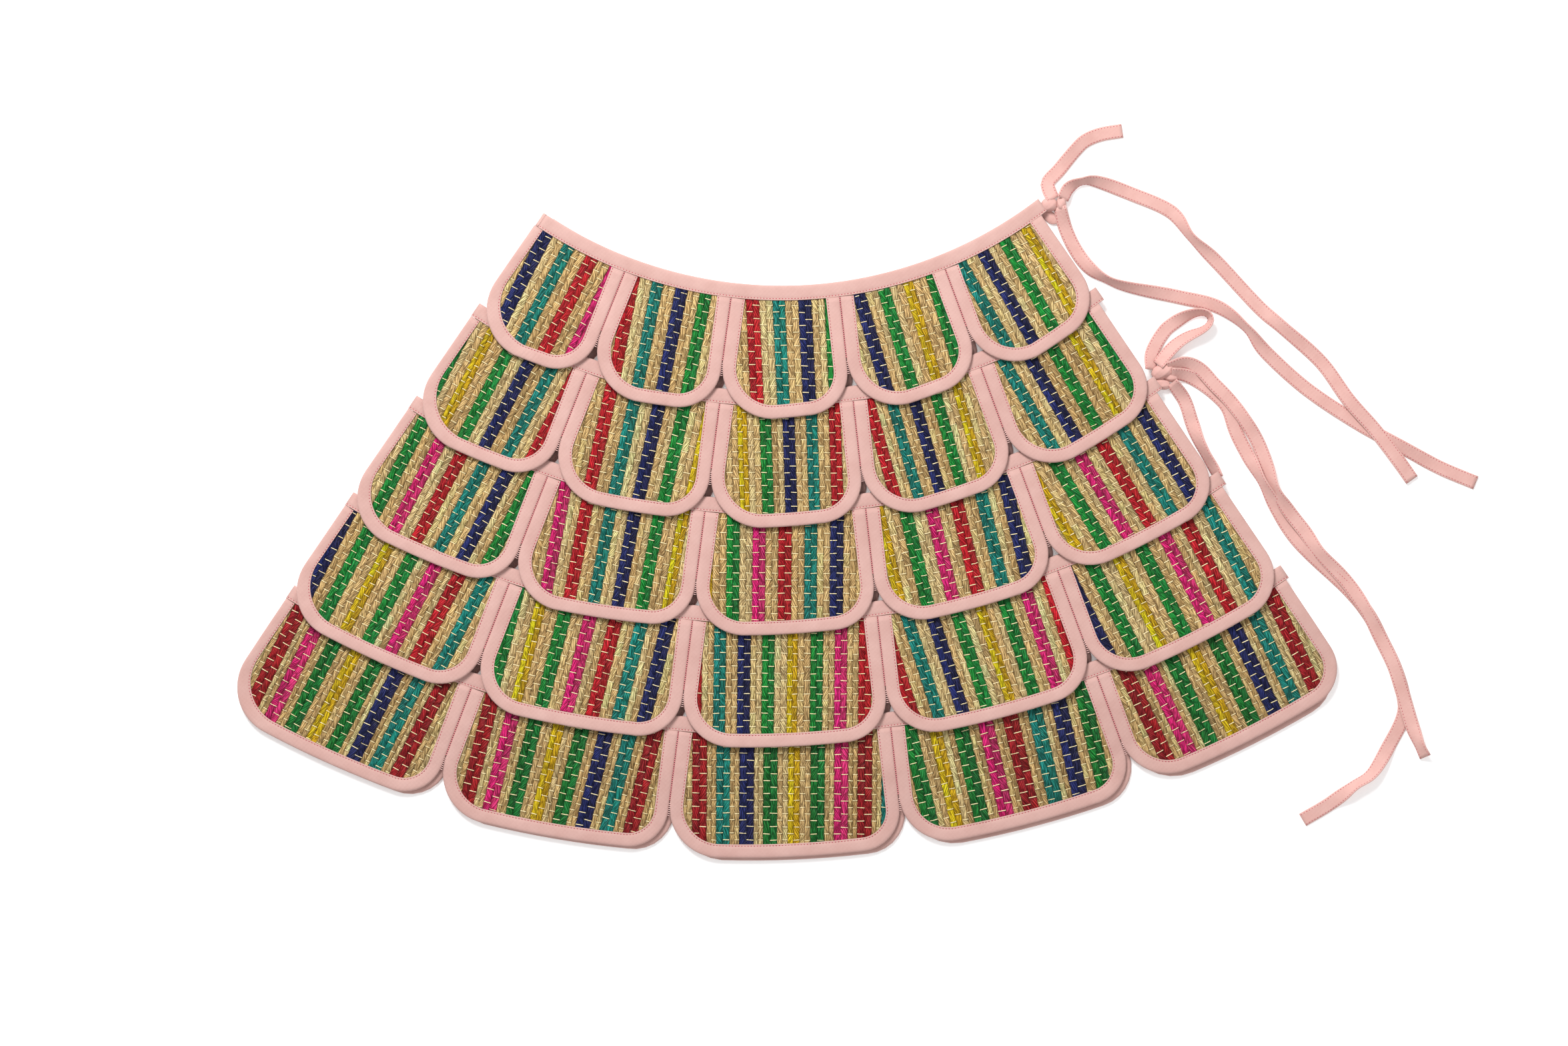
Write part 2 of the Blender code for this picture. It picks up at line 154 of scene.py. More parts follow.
# Stripes of each panel: colours from left to right, the first one's middle (mm from the panel's
# axis), the pitch (mm) and the lean (degrees). A stripe is two dyed bundles, then two natural.
STRIPES = {
    (1, 1): ("NTCM", -24.8, 18.1, 0.8), (1, 2): ("CTNG", -29.2, 17.4, 3.7),
    (1, 3): ("CTNG", -21.1, 18.4, 3.5), (1, 4): ("TNGYG", -40.5, 17.7, 3.4),
    (1, 5): ("TNGY", -25.8, 17.2, 2.2),
    (2, 1): ("GYGNTC", -43.6, 16.5, 0.0), (2, 2): ("CTNGY", -27.1, 17.6, 2.0),
    (2, 3): ("YGNTC", -29.9, 16.3, 2.4), (2, 4): ("CTNGY", -34.2, 15.6, 2.5),
    (2, 5): ("TNGYG", -29.1, 17.2, 3.0),
    (3, 1): ("YGMCTNG", -58.3, 17.3, 0.0), (3, 2): ("MCTNGY", -40.2, 17.1, 3.8),
    (3, 3): ("YGMCTN", -54.8, 18.2, 0.0), (3, 4): ("YGMCTN", -47.5, 18.2, 0.0),
    (3, 5): ("YGMCTN", -46.6, 17.6, 3.9),
    (4, 1): ("NGYGMCT", -59.0, 17.8, 0.0), (4, 2): ("GYGMCTNG", -59.0, 18.0, 0.0),
    (4, 3): ("CTNGYGMC", -62.8, 17.0, -0.2), (4, 4): ("CTNGYGMC", -59.2, 17.1, 4.6),
    (4, 5): ("NGYGMCT", -59.9, 18.2, 0.0),
    (5, 1): ("CMGYGNTC", -60.1, 16.2, 0.0), (5, 2): ("CMGYGNTC", -58.8, 16.7, 0.0),
    (5, 3): ("CTNGYGMCT", -59.8, 16.6, 0.0), (5, 4): ("GYGMCTNG", -62.7, 17.8, -0.1),
    (5, 5): ("CMGYGNTC", -56.2, 16.5, -1.3),
}
DYES = {
    # letter: the two shades (sRGB) that a stripe's bundles take in turn
    "C": ((208, 5, 36), (212, 20, 36)),
    "M": ((246, 22, 133), (243, 50, 134)),
    "G": ((0, 155, 56), (10, 159, 68)),
    "Y": ((252, 221, 4), (242, 199, 0)),
    "N": ((20, 38, 118), (14, 22, 90)),
    "T": ((0, 147, 139), (0, 151, 138)),
}
DYED_SHARE = {"C": 0.62, "M": 0.60, "N": 0.62, "G": 0.60, "T": 0.58, "Y": 0.50}
TIER_SHARE = {1: 0.82, 2: 0.84, 3: 0.84, 4: 0.86, 5: 1.0}
LAST_TIER_DEPTH = {"C": 0.70, "G": 0.74}
# Painted shade: the right bundle of each pair is painted darker, as if it lay deeper, but for the
# panels where the left one is painted darker
PAIR_PAINTED_SHADE = (1.10, 0.90)
LEFT_SHADED_PANELS = {(1, 1), (1, 3), (2, 1), (2, 3), (5, 1), (5, 2), (5, 3), (5, 5)}
LEFT_SHADED_PAIR_SHADE = (0.96, 1.04)
NATURAL = ((255, 228, 164), (250, 214, 146), (255, 220, 152), (240, 203, 136))
# How much lighter or darker one bundle is than the next, and one cell of it than another
DYED_SPREAD = (0.90, 1.10)
NATURAL_SPREAD = (0.92, 1.08)
CELL_SPREAD = (0.77, 1.15)

# Cotton finishes: light and dark shade (sRGB), patches to a metre and sheen
COTTONS = {
    "cotton_tape": ((198, 160, 152), (189, 149, 141), 55.0, 0.15),
    "cotton_ribbon": ((211, 168, 160), (203, 157, 149), 70.0, 0.15),
    "stitch_thread": ((186, 62, 84), (176, 62, 82), 240.0, 0.0),
    "thread_cream": ((246, 232, 186), (214, 196, 146), 160.0, 0.1),
    "seam_thread": ((228, 142, 148), (216, 130, 136), 240.0, 0.0),
    "bar_thread": ((246, 206, 200), (236, 190, 184), 160.0, 0.1),
}


def linear(colour):
    """sRGB numbers from 0 to 255 as linear light."""
    share = np.asarray(colour, float) / 255.0
    return np.where(share <= 0.04045, share / 12.92, ((share + 0.055) / 1.055) ** 2.4)


def parabola(radii, angle):
    """The parabola through an edge's three radii, read at any angle."""
    total = 0.0
    for i in range(3):
        weight = 1.0
        for j in range(3):
            if j != i:
                weight = weight * (angle - SIGHT_ANGLES[j]) / (SIGHT_ANGLES[i] - SIGHT_ANGLES[j])
        total = total + radii[i] * weight
    return total


def hem_radius(tier, angle):
    """A tier's hem, which rises a little across its first panel, towards the left edge."""
    share = np.clip((LEFT_PANEL[1] - angle) / (LEFT_PANEL[1] - LEFT_PANEL[0]), 0.0, 1.0)
    return parabola(HEM_RADII[tier], angle) - LEFT_RISE[tier] * share


def top_radius(tier, angle):
    """A tier's top: the waist, or hidden a little above the hem before it."""
    if tier == 1:
        return parabola(WAIST_RADII, angle)
    return hem_radius(tier - 1, angle) - TIER_OVERLAP[tier]


def ease(distance, run):
    """0 before a run, 1 after it and an even S between."""
    share = np.clip(distance / run, 0.0, 1.0)
    return share * share * (3.0 - 2.0 * share)


def seam_angles(tier, back=False):
    """Where a tier's seams lie; the back half is a little narrower."""
    return np.radians(np.array(SEAM_DEGREES[tier]) + (BACK_SEAM_INSET if back else 0.0))


def front_height(tier, radius, angle):
    """Underside of a front tier: shingles that rise outwards, eased at the waist and last hem."""
    run = radius - top_radius(tier, angle)
    if tier == TIERS:
        past_back = radius - hem_radius(tier - 1, angle) - HEM_EASE_START
        return 2 * LAYER - LAYER * ease(past_back, HEM_EASE)
    height = 2 * LAYER + TIER_SLOPE * run
    if tier == 1:
        height = height - LAYER * (1.0 - ease(run, WAIST_EASE))
    return height


def back_height(tier, radius, angle):
    """Underside of a back tier: flat, but for its top's step up over the hem before it."""
    if tier == 1:
        return 0.0 * radius
    past_hem = radius - hem_radius(tier - 1, angle) - BACK_RAMP_START
    return LAYER * (1.0 - np.clip(past_hem / BACK_RAMP, 0.0, 1.0))


def radial(angle):
    """Unit direction away from the fan's centre."""
    return np.stack((np.sin(angle), np.cos(angle)), axis=-1)


def square(angle):
    """Unit direction square to that, to the right."""
    return np.stack((np.cos(angle), -np.sin(angle)), axis=-1)


def lay_down(flat, height, back=False):
    """Points of the fan's plane (right, down from the centre) as places in the room."""
    x = flat[..., 0] + (BACK_SHIFT[0] if back else 0.0)
    y = FAN_CENTRE_Y - flat[..., 1] + (BACK_SHIFT[1] if back else 0.0)
    return np.stack((x, y, height + 0.0 * x), axis=-1)


def polar(flat):
    """Distance from the fan's centre and angle from its middle line."""
    return np.hypot(flat[..., 0], flat[..., 1]), np.arctan2(flat[..., 0], flat[..., 1])


def underside(tier, flat, back=False):
    """Height of a tier's underside at points of the fan's plane."""
    radius, angle = polar(flat)
    return (back_height if back else front_height)(tier, radius, angle)


# Helpers that turn arrays of points into pieces


def mesh_piece(name, points, groups, material, dye_and_shade=None, weave=None, close_rims=False,
               weld=False):
    """Points and groups of equal-sided faces become an object whose faces point outwards."""
    loops = np.concatenate([group.ravel() for group in groups]).astype(np.int32)
    sides = np.concatenate([np.full(len(group), group.shape[1]) for group in groups])
    starts = np.concatenate(([0], np.cumsum(sides)[:-1])).astype(np.int32)
    mesh = bpy.data.meshes.new(name)
    mesh.vertices.add(len(points))
    mesh.vertices.foreach_set("co", np.asarray(points, np.float32).ravel())
    mesh.loops.add(len(loops))
    mesh.loops.foreach_set("vertex_index", loops)
    mesh.polygons.add(len(sides))
    mesh.polygons.foreach_set("loop_start", starts)
    if weave is not None:
        layer = mesh.uv_layers.new(name="weave")
        layer.data.foreach_set("uv", np.asarray(weave, np.float32).ravel())
    if dye_and_shade is not None:
        layer = mesh.color_attributes.new("dye_and_shade", "FLOAT_COLOR", "CORNER")
        colour = np.ones((len(loops), 4), np.float32)
        colour[:, :3] = dye_and_shade
        layer.data.foreach_set("color", colour.ravel())
    mesh.update(calc_edges=True)
    shape = bmesh.new()
    shape.from_mesh(mesh)
    if close_rims:
        rim = [edge for edge in shape.edges if edge.is_boundary]
        bmesh.ops.holes_fill(shape, edges=rim, sides=0)
    if weld:
        bmesh.ops.remove_doubles(shape, verts=shape.verts, dist=WELD_DISTANCE)
    bmesh.ops.recalc_face_normals(shape, faces=shape.faces)
    shape.to_mesh(mesh)
    shape.free()
    mesh.polygons.foreach_set("use_smooth", np.ones(len(mesh.polygons), bool))
    mesh.materials.append(material)
    piece = bpy.data.objects.new(name, mesh)
    bpy.context.scene.collection.objects.link(piece)
    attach(piece, "root")
    return piece


def grid_faces(rows, columns, wrap=False):
    """Quads of a grid of rows and columns of points; wrap closes each row into a ring."""
    index = np.arange(rows * columns).reshape(rows, columns)
    if wrap:
        index = np.concatenate((index, index[:, :1]), axis=1)
    quads = np.stack((index[:-1, :-1], index[1:, :-1], index[1:, 1:], index[:-1, 1:]), axis=-1)
    return quads.reshape(-1, 4)


def shell(rings):
    """Points, sides and end caps of a closed ring that is carried along a path."""
    rows, columns = rings.shape[:2]
    first = np.arange(columns)
    caps = np.stack((first, (first + (rows - 1) * columns)[::-1]))
    return rings.reshape(-1, 3), grid_faces(rows, columns, wrap=True), caps


def join_parts(parts):
    """Several sets of points and faces as one, with a group for each number of sides."""
    points, groups, count = [], {}, 0
    for places, *kinds in parts:
        points.append(places)
        for faces in kinds:
            groups.setdefault(faces.shape[1], []).append(faces + count)
        count += len(places)
    return np.concatenate(points), [np.concatenate(faces) for faces in groups.values()]


def left_of(line):
    """Unit directions to the left at each point of a level path (n, 3)."""
    ahead = np.gradient(line, axis=0)
    ahead /= np.linalg.norm(ahead, axis=1)[:, None]
    left = np.stack((-ahead[:, 1], ahead[:, 0], 0.0 * ahead[:, 0]), axis=1)
    return left / np.linalg.norm(left, axis=1)[:, None]


def distance_run(line):
    """How far along a path each of its points lies."""
    return np.concatenate(([0.0], np.cumsum(np.linalg.norm(np.diff(line, axis=0), axis=1))))


def read_at(marks, places, values):
    """Each column of the values, known at the places, read at the marks between them."""
    return np.stack([np.interp(marks, places, column) for column in values.T], axis=1)


def dashes(name, rows, size, material, ups=UP):
    """Many small stitches: each is a long octahedron, its tips along the seam and sunk a little."""
    middles, aheads = (np.concatenate(kind) for kind in zip(*rows))
    sides = np.cross(ups, aheads)
    half, wide = size[0] / 2, size[1] / 2
    sunk = ups * wide * DASH_SINK
    tips = [middles - aheads * half - sunk, middles + aheads * half - sunk]
    belt = [middles + sides * wide, middles + ups * wide, middles - sides * wide,
            middles - 2 * sunk]
    points = np.stack(tips + belt, axis=1)
    fan = []
    for k in range(4):
        after = (k + 1) % 4
        fan += [(0, 2 + k, 2 + after), (1, 2 + after, 2 + k)]
    faces = np.arange(len(points))[:, None, None] * 6 + np.array(fan)
    return mesh_piece(name, points.reshape(-1, 3), [faces.reshape(-1, 3)], material)


def stitch_row(line):
    """Middles and directions of the stitches of one row along a path, at even steps."""
    run = distance_run(line)
    marks = np.linspace(0.0, run[-1], max(2, int(round(run[-1] / STITCH_PITCH)) + 1))
    even = read_at(marks, run, line)
    aheads = np.diff(even, axis=0)
    return (even[:-1] + even[1:]) / 2, aheads / np.linalg.norm(aheads, axis=1)[:, None]


# Finishes: shader node groups, then the materials that use them


def new_group(name, inputs, outputs):
    group = bpy.data.node_groups.new(name, "ShaderNodeTree")
    for label, kind, value in inputs:
        socket = group.interface.new_socket(name=label, in_out="INPUT", socket_type=kind)
        if value is not None:
            socket.default_value = value
    for label, kind in outputs:
        group.interface.new_socket(name=label, in_out="OUTPUT", socket_type=kind)
    return group, group.nodes.new("NodeGroupInput"), group.nodes.new("NodeGroupOutput")


class Wires:
    """Shorthand for wiring shader nodes of one tree."""

    def __init__(self, tree):
        self.tree = tree

    def node(self, kind, **settings):
        made = self.tree.nodes.new(kind)
        for key, value in settings.items():
            setattr(made, key, value)
        return made

    def feed(self, socket, value):
        if isinstance(value, bpy.types.NodeSocket):
            self.tree.links.new(value, socket)
        else:
            socket.default_value = value

    def math(self, operation, first, second=0.0, kind="ShaderNodeMath"):
        made = self.node(kind, operation=operation)
        self.feed(made.inputs[0], first)
        self.feed(made.inputs[1], second)
        return made.outputs[0]

    def times(self, first, second):
        return self.math("MULTIPLY", first, second)

    def plus(self, first, second):
        return self.math("ADD", first, second)

    def from_half(self, value):
        """How far a value's fraction lies past a half."""
        return self.math("SUBTRACT", self.math("FRACT", value), 0.5)

    def noise(self, vector, scale, detail, rough=0.5):
        made = self.node("ShaderNodeTexNoise")
        self.feed(made.inputs["Vector"], vector)
        self.feed(made.inputs["Scale"], scale)
        made.inputs["Detail"].default_value = detail
        made.inputs["Roughness"].default_value = rough
        return made.outputs["Fac"]

    def mix(self, share, first, second, blend="MIX"):
        made = self.node("ShaderNodeMix", data_type="RGBA", blend_type=blend)
        self.feed(made.inputs["Factor"], share)
        self.feed(made.inputs[6], first)
        self.feed(made.inputs[7], second)
        return made.outputs[2]

    def scaled(self, value, low, high, new_low, new_high):
        made = self.node("ShaderNodeMapRange")
        self.feed(made.inputs["Value"], value)
        for label, number in zip(("From Min", "From Max", "To Min", "To Max"),
                                 (low, high, new_low, new_high)):
            self.feed(made.inputs[label], number)
        return made.outputs["Result"]


def straw_fibres_group():
    """Fibres run down each bundle and slant a little, another way in each cell between threads."""
    group, inputs, outputs = new_group(
        "straw fibres",
        [("Place", "NodeSocketVector", None), ("Slant", "NodeSocketFloat", 0.3),
         ("Fibres", "NodeSocketFloat", 7.0)],
        [("Streak", "NodeSocketFloat"), ("Strand", "NodeSocketFloat"), ("Height", "NodeSocketFloat"),
         ("Groove Shade", "NodeSocketFloat")],
    )
    w = Wires(group)
    apart = w.node("ShaderNodeSeparateXYZ")
    w.feed(apart.inputs[0], inputs.outputs["Place"])
    bundle = w.math("FLOOR", apart.outputs[0])
    cell = w.math("FLOOR", apart.outputs[1])
    joined = w.node("ShaderNodeCombineXYZ")
    w.feed(joined.inputs[0], bundle)
    w.feed(joined.inputs[1], cell)
    chance = w.node("ShaderNodeTexWhiteNoise", noise_dimensions="2D")
    w.feed(chance.inputs["Vector"], joined.outputs[0])
    slant = w.times(w.math("SUBTRACT", chance.outputs["Value"], 0.5),
                    w.times(inputs.outputs["Slant"], 2.0))
    across = w.from_half(apart.outputs[0])
    bend = w.plus(across, w.times(w.times(slant, w.from_half(apart.outputs[1])), 2.2))
    fibre = w.times(w.plus(bend, w.times(bundle, 3.17)), inputs.outputs["Fibres"])
    place = w.node("ShaderNodeCombineXYZ")
    w.feed(place.inputs[0], fibre)
    w.feed(place.inputs[1], w.times(apart.outputs[1], 1.3))
    w.feed(place.inputs[2], w.times(cell, 7.3))
    streak = w.noise(place.outputs[0], 1.6, 4.0, 0.65)
    strands = w.node("ShaderNodeTexVoronoi", feature="DISTANCE_TO_EDGE")
    thin = w.math("MULTIPLY", place.outputs[0], (0.62, 0.75, 1.0), "ShaderNodeVectorMath")
    w.feed(strands.inputs["Vector"], thin)
    strands.inputs["Scale"].default_value = 1.0
    strand = w.scaled(strands.outputs["Distance"], 0.0, 0.16, 0.0, 1.0)
    # Painted shade: darker beside a bundle's edges and where its thread pinches it
    beside = w.scaled(w.math("ABSOLUTE", across), 0.32, 0.50, 1.0, 0.38)
    from_thread = w.math("ABSOLUTE", w.from_half(w.plus(apart.outputs[1], 0.5)))
    pinch = w.scaled(from_thread, 0.03, 0.13, 0.66, 1.0)
    w.feed(outputs.inputs["Groove Shade"], w.times(beside, pinch))
    w.feed(outputs.inputs["Streak"], streak)
    w.feed(outputs.inputs["Strand"], strand)
    w.feed(outputs.inputs["Height"], w.plus(w.times(streak, 0.7), w.times(strand, 0.6)))
    return group


def woven_cotton_group():
    """Plain weave: two crossed sine ridges, with soft uneven patches of shade."""
    group, inputs, outputs = new_group(
        "woven cotton",
        [("Place", "NodeSocketVector", None), ("Threads", "NodeSocketFloat", 1900.0),
         ("Patch", "NodeSocketFloat", 60.0)],
        [("Patches", "NodeSocketFloat"), ("Height", "NodeSocketFloat")],
    )
    w = Wires(group)
    apart = w.node("ShaderNodeSeparateXYZ")
    w.feed(apart.inputs[0], inputs.outputs["Place"])
    warp = w.math("SINE", w.times(apart.outputs[0], inputs.outputs["Threads"]))
    weft = w.math("SINE", w.times(apart.outputs[1], inputs.outputs["Threads"]))
    slub = w.noise(inputs.outputs["Place"], 420.0, 3.0, 0.6)
    weave = w.times(w.times(warp, weft), 0.35)
    patches = w.noise(inputs.outputs["Place"], inputs.outputs["Patch"], 4.0, 0.6)
    w.feed(outputs.inputs["Patches"], patches)
    w.feed(outputs.inputs["Height"], w.plus(weave, slub))
    return group


def new_material(name):
    material = bpy.data.materials.new(name)
    material.use_nodes = True
    return material, Wires(material.node_tree), material.node_tree.nodes["Principled BSDF"]


def place_group(wires, group, values):
    """A node group placed in a material with its own values."""
    made = wires.node("ShaderNodeGroup")
    made.node_tree = group
    for label, value in values.items():
        wires.feed(made.inputs[label], value)
    return made


def bump(wires, shader, height, strength, distance):
    made = wires.node("ShaderNodeBump")
    made.inputs["Strength"].default_value = strength
    made.inputs["Distance"].default_value = distance
    wires.feed(made.inputs["Height"], height)
    wires.feed(shader.inputs["Normal"], made.outputs[0])


def straw_material(name, slant):
    """Dyed straw: dyed colour with the pairs' painted shade, streaked along fibres as their own tone
    and painted highlight and shade, with painted shade in strand gaps and grooves.
    """
    material, w, shader = new_material(name)
    dye_and_shade = w.node("ShaderNodeAttribute", attribute_name="dye_and_shade")
    layout = w.node("ShaderNodeUVMap", uv_map="weave")
    fibres = place_group(w, STRAW_FIBRES, {"Place": layout.outputs[0], "Slant": slant})
    # Streaks swing between a paler copy of the colour and a darker one: partly the fibres' own tone,
    # partly painted highlight and shade
    streak_tone_and_light = w.scaled(fibres.outputs["Streak"], 0.34, 0.62, 0.0, 1.0)
    pale = w.mix(0.025, dye_and_shade.outputs["Color"], (0.95, 0.88, 0.70, 1.0))
    dark = w.mix(1.0, dye_and_shade.outputs["Color"], (0.50, 0.41, 0.34, 1.0), "MULTIPLY")
    body = w.mix(streak_tone_and_light, dark, pale)
    # Painted shade in the gaps between strands
    strand_gap_shade = w.mix(1.0, dye_and_shade.outputs["Color"], (0.22, 0.17, 0.12, 1.0), "MULTIPLY")
    shade = w.scaled(fibres.outputs["Strand"], 0.0, 1.0, 0.1, 1.0)
    # Painted shade in the grooves between bundles and at the threads' pinches
    groove = w.mix(fibres.outputs["Groove Shade"], (0.24, 0.20, 0.16, 1.0), (1.0, 1.0, 1.0, 1.0))
    w.feed(shader.inputs["Base Color"], w.mix(1.0, w.mix(shade, strand_gap_shade, body), groove, "MULTIPLY"))
    w.feed(shader.inputs["Roughness"], w.scaled(fibres.outputs["Streak"], 0.3, 0.7, 0.58, 0.38))
    shader.inputs["Specular IOR Level"].default_value = 0.22
    bump(w, shader, fibres.outputs["Height"], 1.0, 0.0009)
    return material


def cotton_material(name):
    """Cotton: one colour in soft patches of two shades, a plain weave and a little sheen."""
    colour, deep, patch, sheen = COTTONS[name]
    material, w, shader = new_material(name)
    place = w.node("ShaderNodeTexCoord")
    cotton = place_group(w, WOVEN_COTTON, {"Place": place.outputs["Object"], "Patch": patch})
    share = w.scaled(cotton.outputs["Patches"], 0.32, 0.72, 0.0, 1.0)
    light, dark = (tuple(linear(tone)) + (1.0,) for tone in (colour, deep))
    w.feed(shader.inputs["Base Color"], w.mix(share, dark, light))
    w.feed(shader.inputs["Roughness"], w.scaled(cotton.outputs["Patches"], 0.3, 0.7, 0.92, 0.80))
    shader.inputs["Specular IOR Level"].default_value = 0.25
    shader.inputs["Sheen Weight"].default_value = sheen
    shader.inputs["Sheen Roughness"].default_value = 0.5
    bump(w, shader, cotton.outputs["Height"], 0.35, 0.0002)
    return material


STRAW_FIBRES = straw_fibres_group()
WOVEN_COTTON = woven_cotton_group()
STRAW_DYED = straw_material("straw_dyed", 0.60)
COTTON_TAPE = cotton_material("cotton_tape")
COTTON_RIBBON = cotton_material("cotton_ribbon")
STITCH_THREAD = cotton_material("stitch_thread")
THREAD_CREAM = cotton_material("thread_cream")
SEAM_THREAD = cotton_material("seam_thread")
BAR_THREAD = cotton_material("bar_thread")


# Outlines of the panels


def corner_radius(tier, side, margin, share):
    """Corners tighten as the margin grows, so the tape keeps its width round them."""
    return (LEFT_CORNER if side > 0 else RIGHT_CORNER)[tier] - margin * (2.0 * share - 1.0)


def edge_share(panel, side):
    """The tape is narrower along the skirt's left edge."""
    return LEFT_EDGE_SHARE if panel == 0 and side > 0 else 1.0


def corner_of(tier, seam, side, margin, share=1.0):
    """Where a corner's leg ends, its centre and the lean of its last point, at a margin inside."""
    rounding = corner_radius(tier, side, margin, share)
    inset = margin * share + rounding
    reach = hem_radius(tier, seam) - margin - rounding
    leg_end = math.sqrt(reach ** 2 - inset ** 2)
    centre = leg_end * radial(seam) + side * inset * square(seam)
    return leg_end, centre, math.asin(inset / reach)


def side_line(tier, angle, side, margin, leg, corner, start, share):
    """One side of a panel: a leg beside the seam, then the round corner, at a margin inside."""
    leg_end, centre, lean = corner_of(tier, angle, side, margin, share)
    stations = np.linspace(start, leg_end, leg + 1)[:, None]
    straight = stations * radial(angle) + side * margin * share * square(angle)
    parts = np.linspace(0.0, 1.0, corner + 1)[1:]
    turns = angle - side * math.pi / 2 + side * (math.pi / 2 + lean) * parts
    rounding = corner_radius(tier, side, margin, share)
    return np.concatenate((straight, centre + rounding * radial(turns)))


def panel_loop(tier, panel, margin, seams, steps):
    """Down a panel's left side, along its hem and up its right side, always in the same steps."""
    leg, corner, hem = steps
    sides = []
    for angle, side in ((seams[panel], 1), (seams[panel + 1], -1)):
        start = top_radius(tier, angle) + BAND_WIDTH + SEAM_GAP / 2
        sides.append(side_line(tier, angle, side, margin, leg, corner, start,
                               edge_share(panel, side)))
    left, right = sides
    ends = polar(np.stack((left[-1], right[-1])))
    share = np.linspace(0.0, 1.0, hem + 1)[1:-1]
    radius = ends[0][0] + (ends[0][1] - ends[0][0]) * share
    angle = ends[1][0] + (ends[1][1] - ends[1][0]) * share
    return np.concatenate((left, radius[:, None] * radial(angle), right[::-1]))


def mat_depth(tier, panel, flat, seams):
    """How far inside the tape's inner edge a point is: from legs, hem, corners and top band."""
    radius, angle = polar(flat)
    first, last = seams[panel], seams[panel + 1]
    distances = [radius * np.sin(angle - first) - TAPE_WIDTH * edge_share(panel, 1),
                 radius * np.sin(last - angle) - TAPE_WIDTH]
    ends, corners = [], []
    for seam, side in ((first, 1), (last, -1)):
        share = edge_share(panel, side)
        centre, lean = corner_of(tier, seam, side, TAPE_WIDTH, share)[1:]
        turn = seam + side * lean
        past_leg = (flat - centre) @ radial(seam) > 0.0
        outside = (turn - angle) * side > 0.0
        rounding = corner_radius(tier, side, TAPE_WIDTH, share)
        gone = rounding - np.hypot(*np.moveaxis(flat - centre, -1, 0))
        corners.append((past_leg & outside, gone))
        ends.append((turn, hem_radius(tier, seam) - TAPE_WIDTH))
    hem = np.interp(angle, [ends[0][0], ends[1][0]], [ends[0][1], ends[1][1]])
    inset = np.minimum(np.minimum(*distances), hem - radius)
    for inside, gone in corners:
        inset = np.where(inside, gone, inset)
    return np.minimum(inset, radius - top_radius(tier, angle) - BAND_WIDTH)


# Straw mats and their cross threads


def stripe_plan(tier, panel, seams):
    """Colours, middle angle, reference distance, bundle width, first bundle's place and lean."""
    letters, first, pitch, lean = STRIPES[(tier, panel + 1)]
    middle = (seams[panel] + seams[panel + 1]) / 2
    upper = top_radius(1, middle) + BAND_WIDTH if tier == 1 else hem_radius(tier - 1, middle)
    reference = (upper + hem_radius(tier, middle) - TAPE_WIDTH) / 2
    width = pitch * MM / 4
    return letters, middle, reference, width, first * MM - width, math.tan(math.radians(lean))


def bundle_edges(letters, q, tier):
    """Where bundle edges lie, in bundles of even width: dyed pairs are wider than natural ones."""
    stripe = np.floor(q / 4 + 1e-9).astype(int)
    shares = np.array([DYED_SHARE[letter] for letter in letters]) * TIER_SHARE[tier]

    def share_of(index):
        known = (index >= 0) & (index < len(letters))
        return np.where(known, shares[np.clip(index, 0, len(letters) - 1)], 0.5)

    half, following = share_of(stripe) / 2, share_of(stripe + 1) / 2
    place = q - 4 * stripe
    dyed = 0.25 + (place - 1.0) * half
    natural = 0.25 + half + (place - 2.0) / 2 * (1.0 - half - following)
    return 4 * (stripe + np.where(place <= 2.0, dyed, natural))


def bundle_dyes(letters, bundles, tier, panel, rng):
    """Linear colour of each bundle: dyed pairs by their stripe's letter, natural pairs between, and
    one bundle of each pair darker as painted shade.
    """
    light = LEFT_SHADED_PAIR_SHADE if (tier, panel + 1) in LEFT_SHADED_PANELS else PAIR_PAINTED_SHADE
    colours = []
    for bundle in bundles:
        stripe, place = divmod(bundle, 4)
        if place < 2 and 0 <= stripe < len(letters):
            shades = DYES[letters[stripe]]
            colour = linear(shades[place]) * rng.uniform(*DYED_SPREAD)
            if tier == TIERS:
                colour = colour * LAST_TIER_DEPTH.get(letters[stripe], 1.0)
        else:
            colour = linear(NATURAL[rng.integers(4)]) * rng.uniform(*NATURAL_SPREAD)
        # painted shade: one bundle of each pair is darkened
        colours.append(colour * light[bundle % 2])
    return np.array(colours)


def wave(q, v):
    """Each boundary sways as a cosine down the panel, the next one the other way round."""
    sway = -SWAY * np.cos(2 * np.pi * v) * (1 - 2 * (np.floor(q + 1e-6) % 2))
    near = 1.0 - np.minimum(np.abs(q - np.round(q)) * 4.0, 1.0)
    return sway * near


def mat_crown(u, from_thread):
    """A bundle's height share: round across it, pressed in by a bell curve at its thread."""
    pinch = np.exp(-(from_thread / PINCH_WIDTH) ** 2)
    crown = np.clip(1.0 - u * u, 0.0, 1.0) ** CROWN_ROUND
    swell = (1.0 - SWELL * np.cos(2 * np.pi * from_thread)) / (1.0 + SWELL)
    return CROWN_LEAST + (1.0 - CROWN_LEAST) * crown * (1.0 - PINCH_DEPTH * pinch) * swell


def bundle_range(start, width, reach):
    """Numbers of the bundles that lie within a reach of a panel's axis."""
    return np.arange(math.floor((-reach - start) / width), math.ceil((reach - start) / width) + 1)


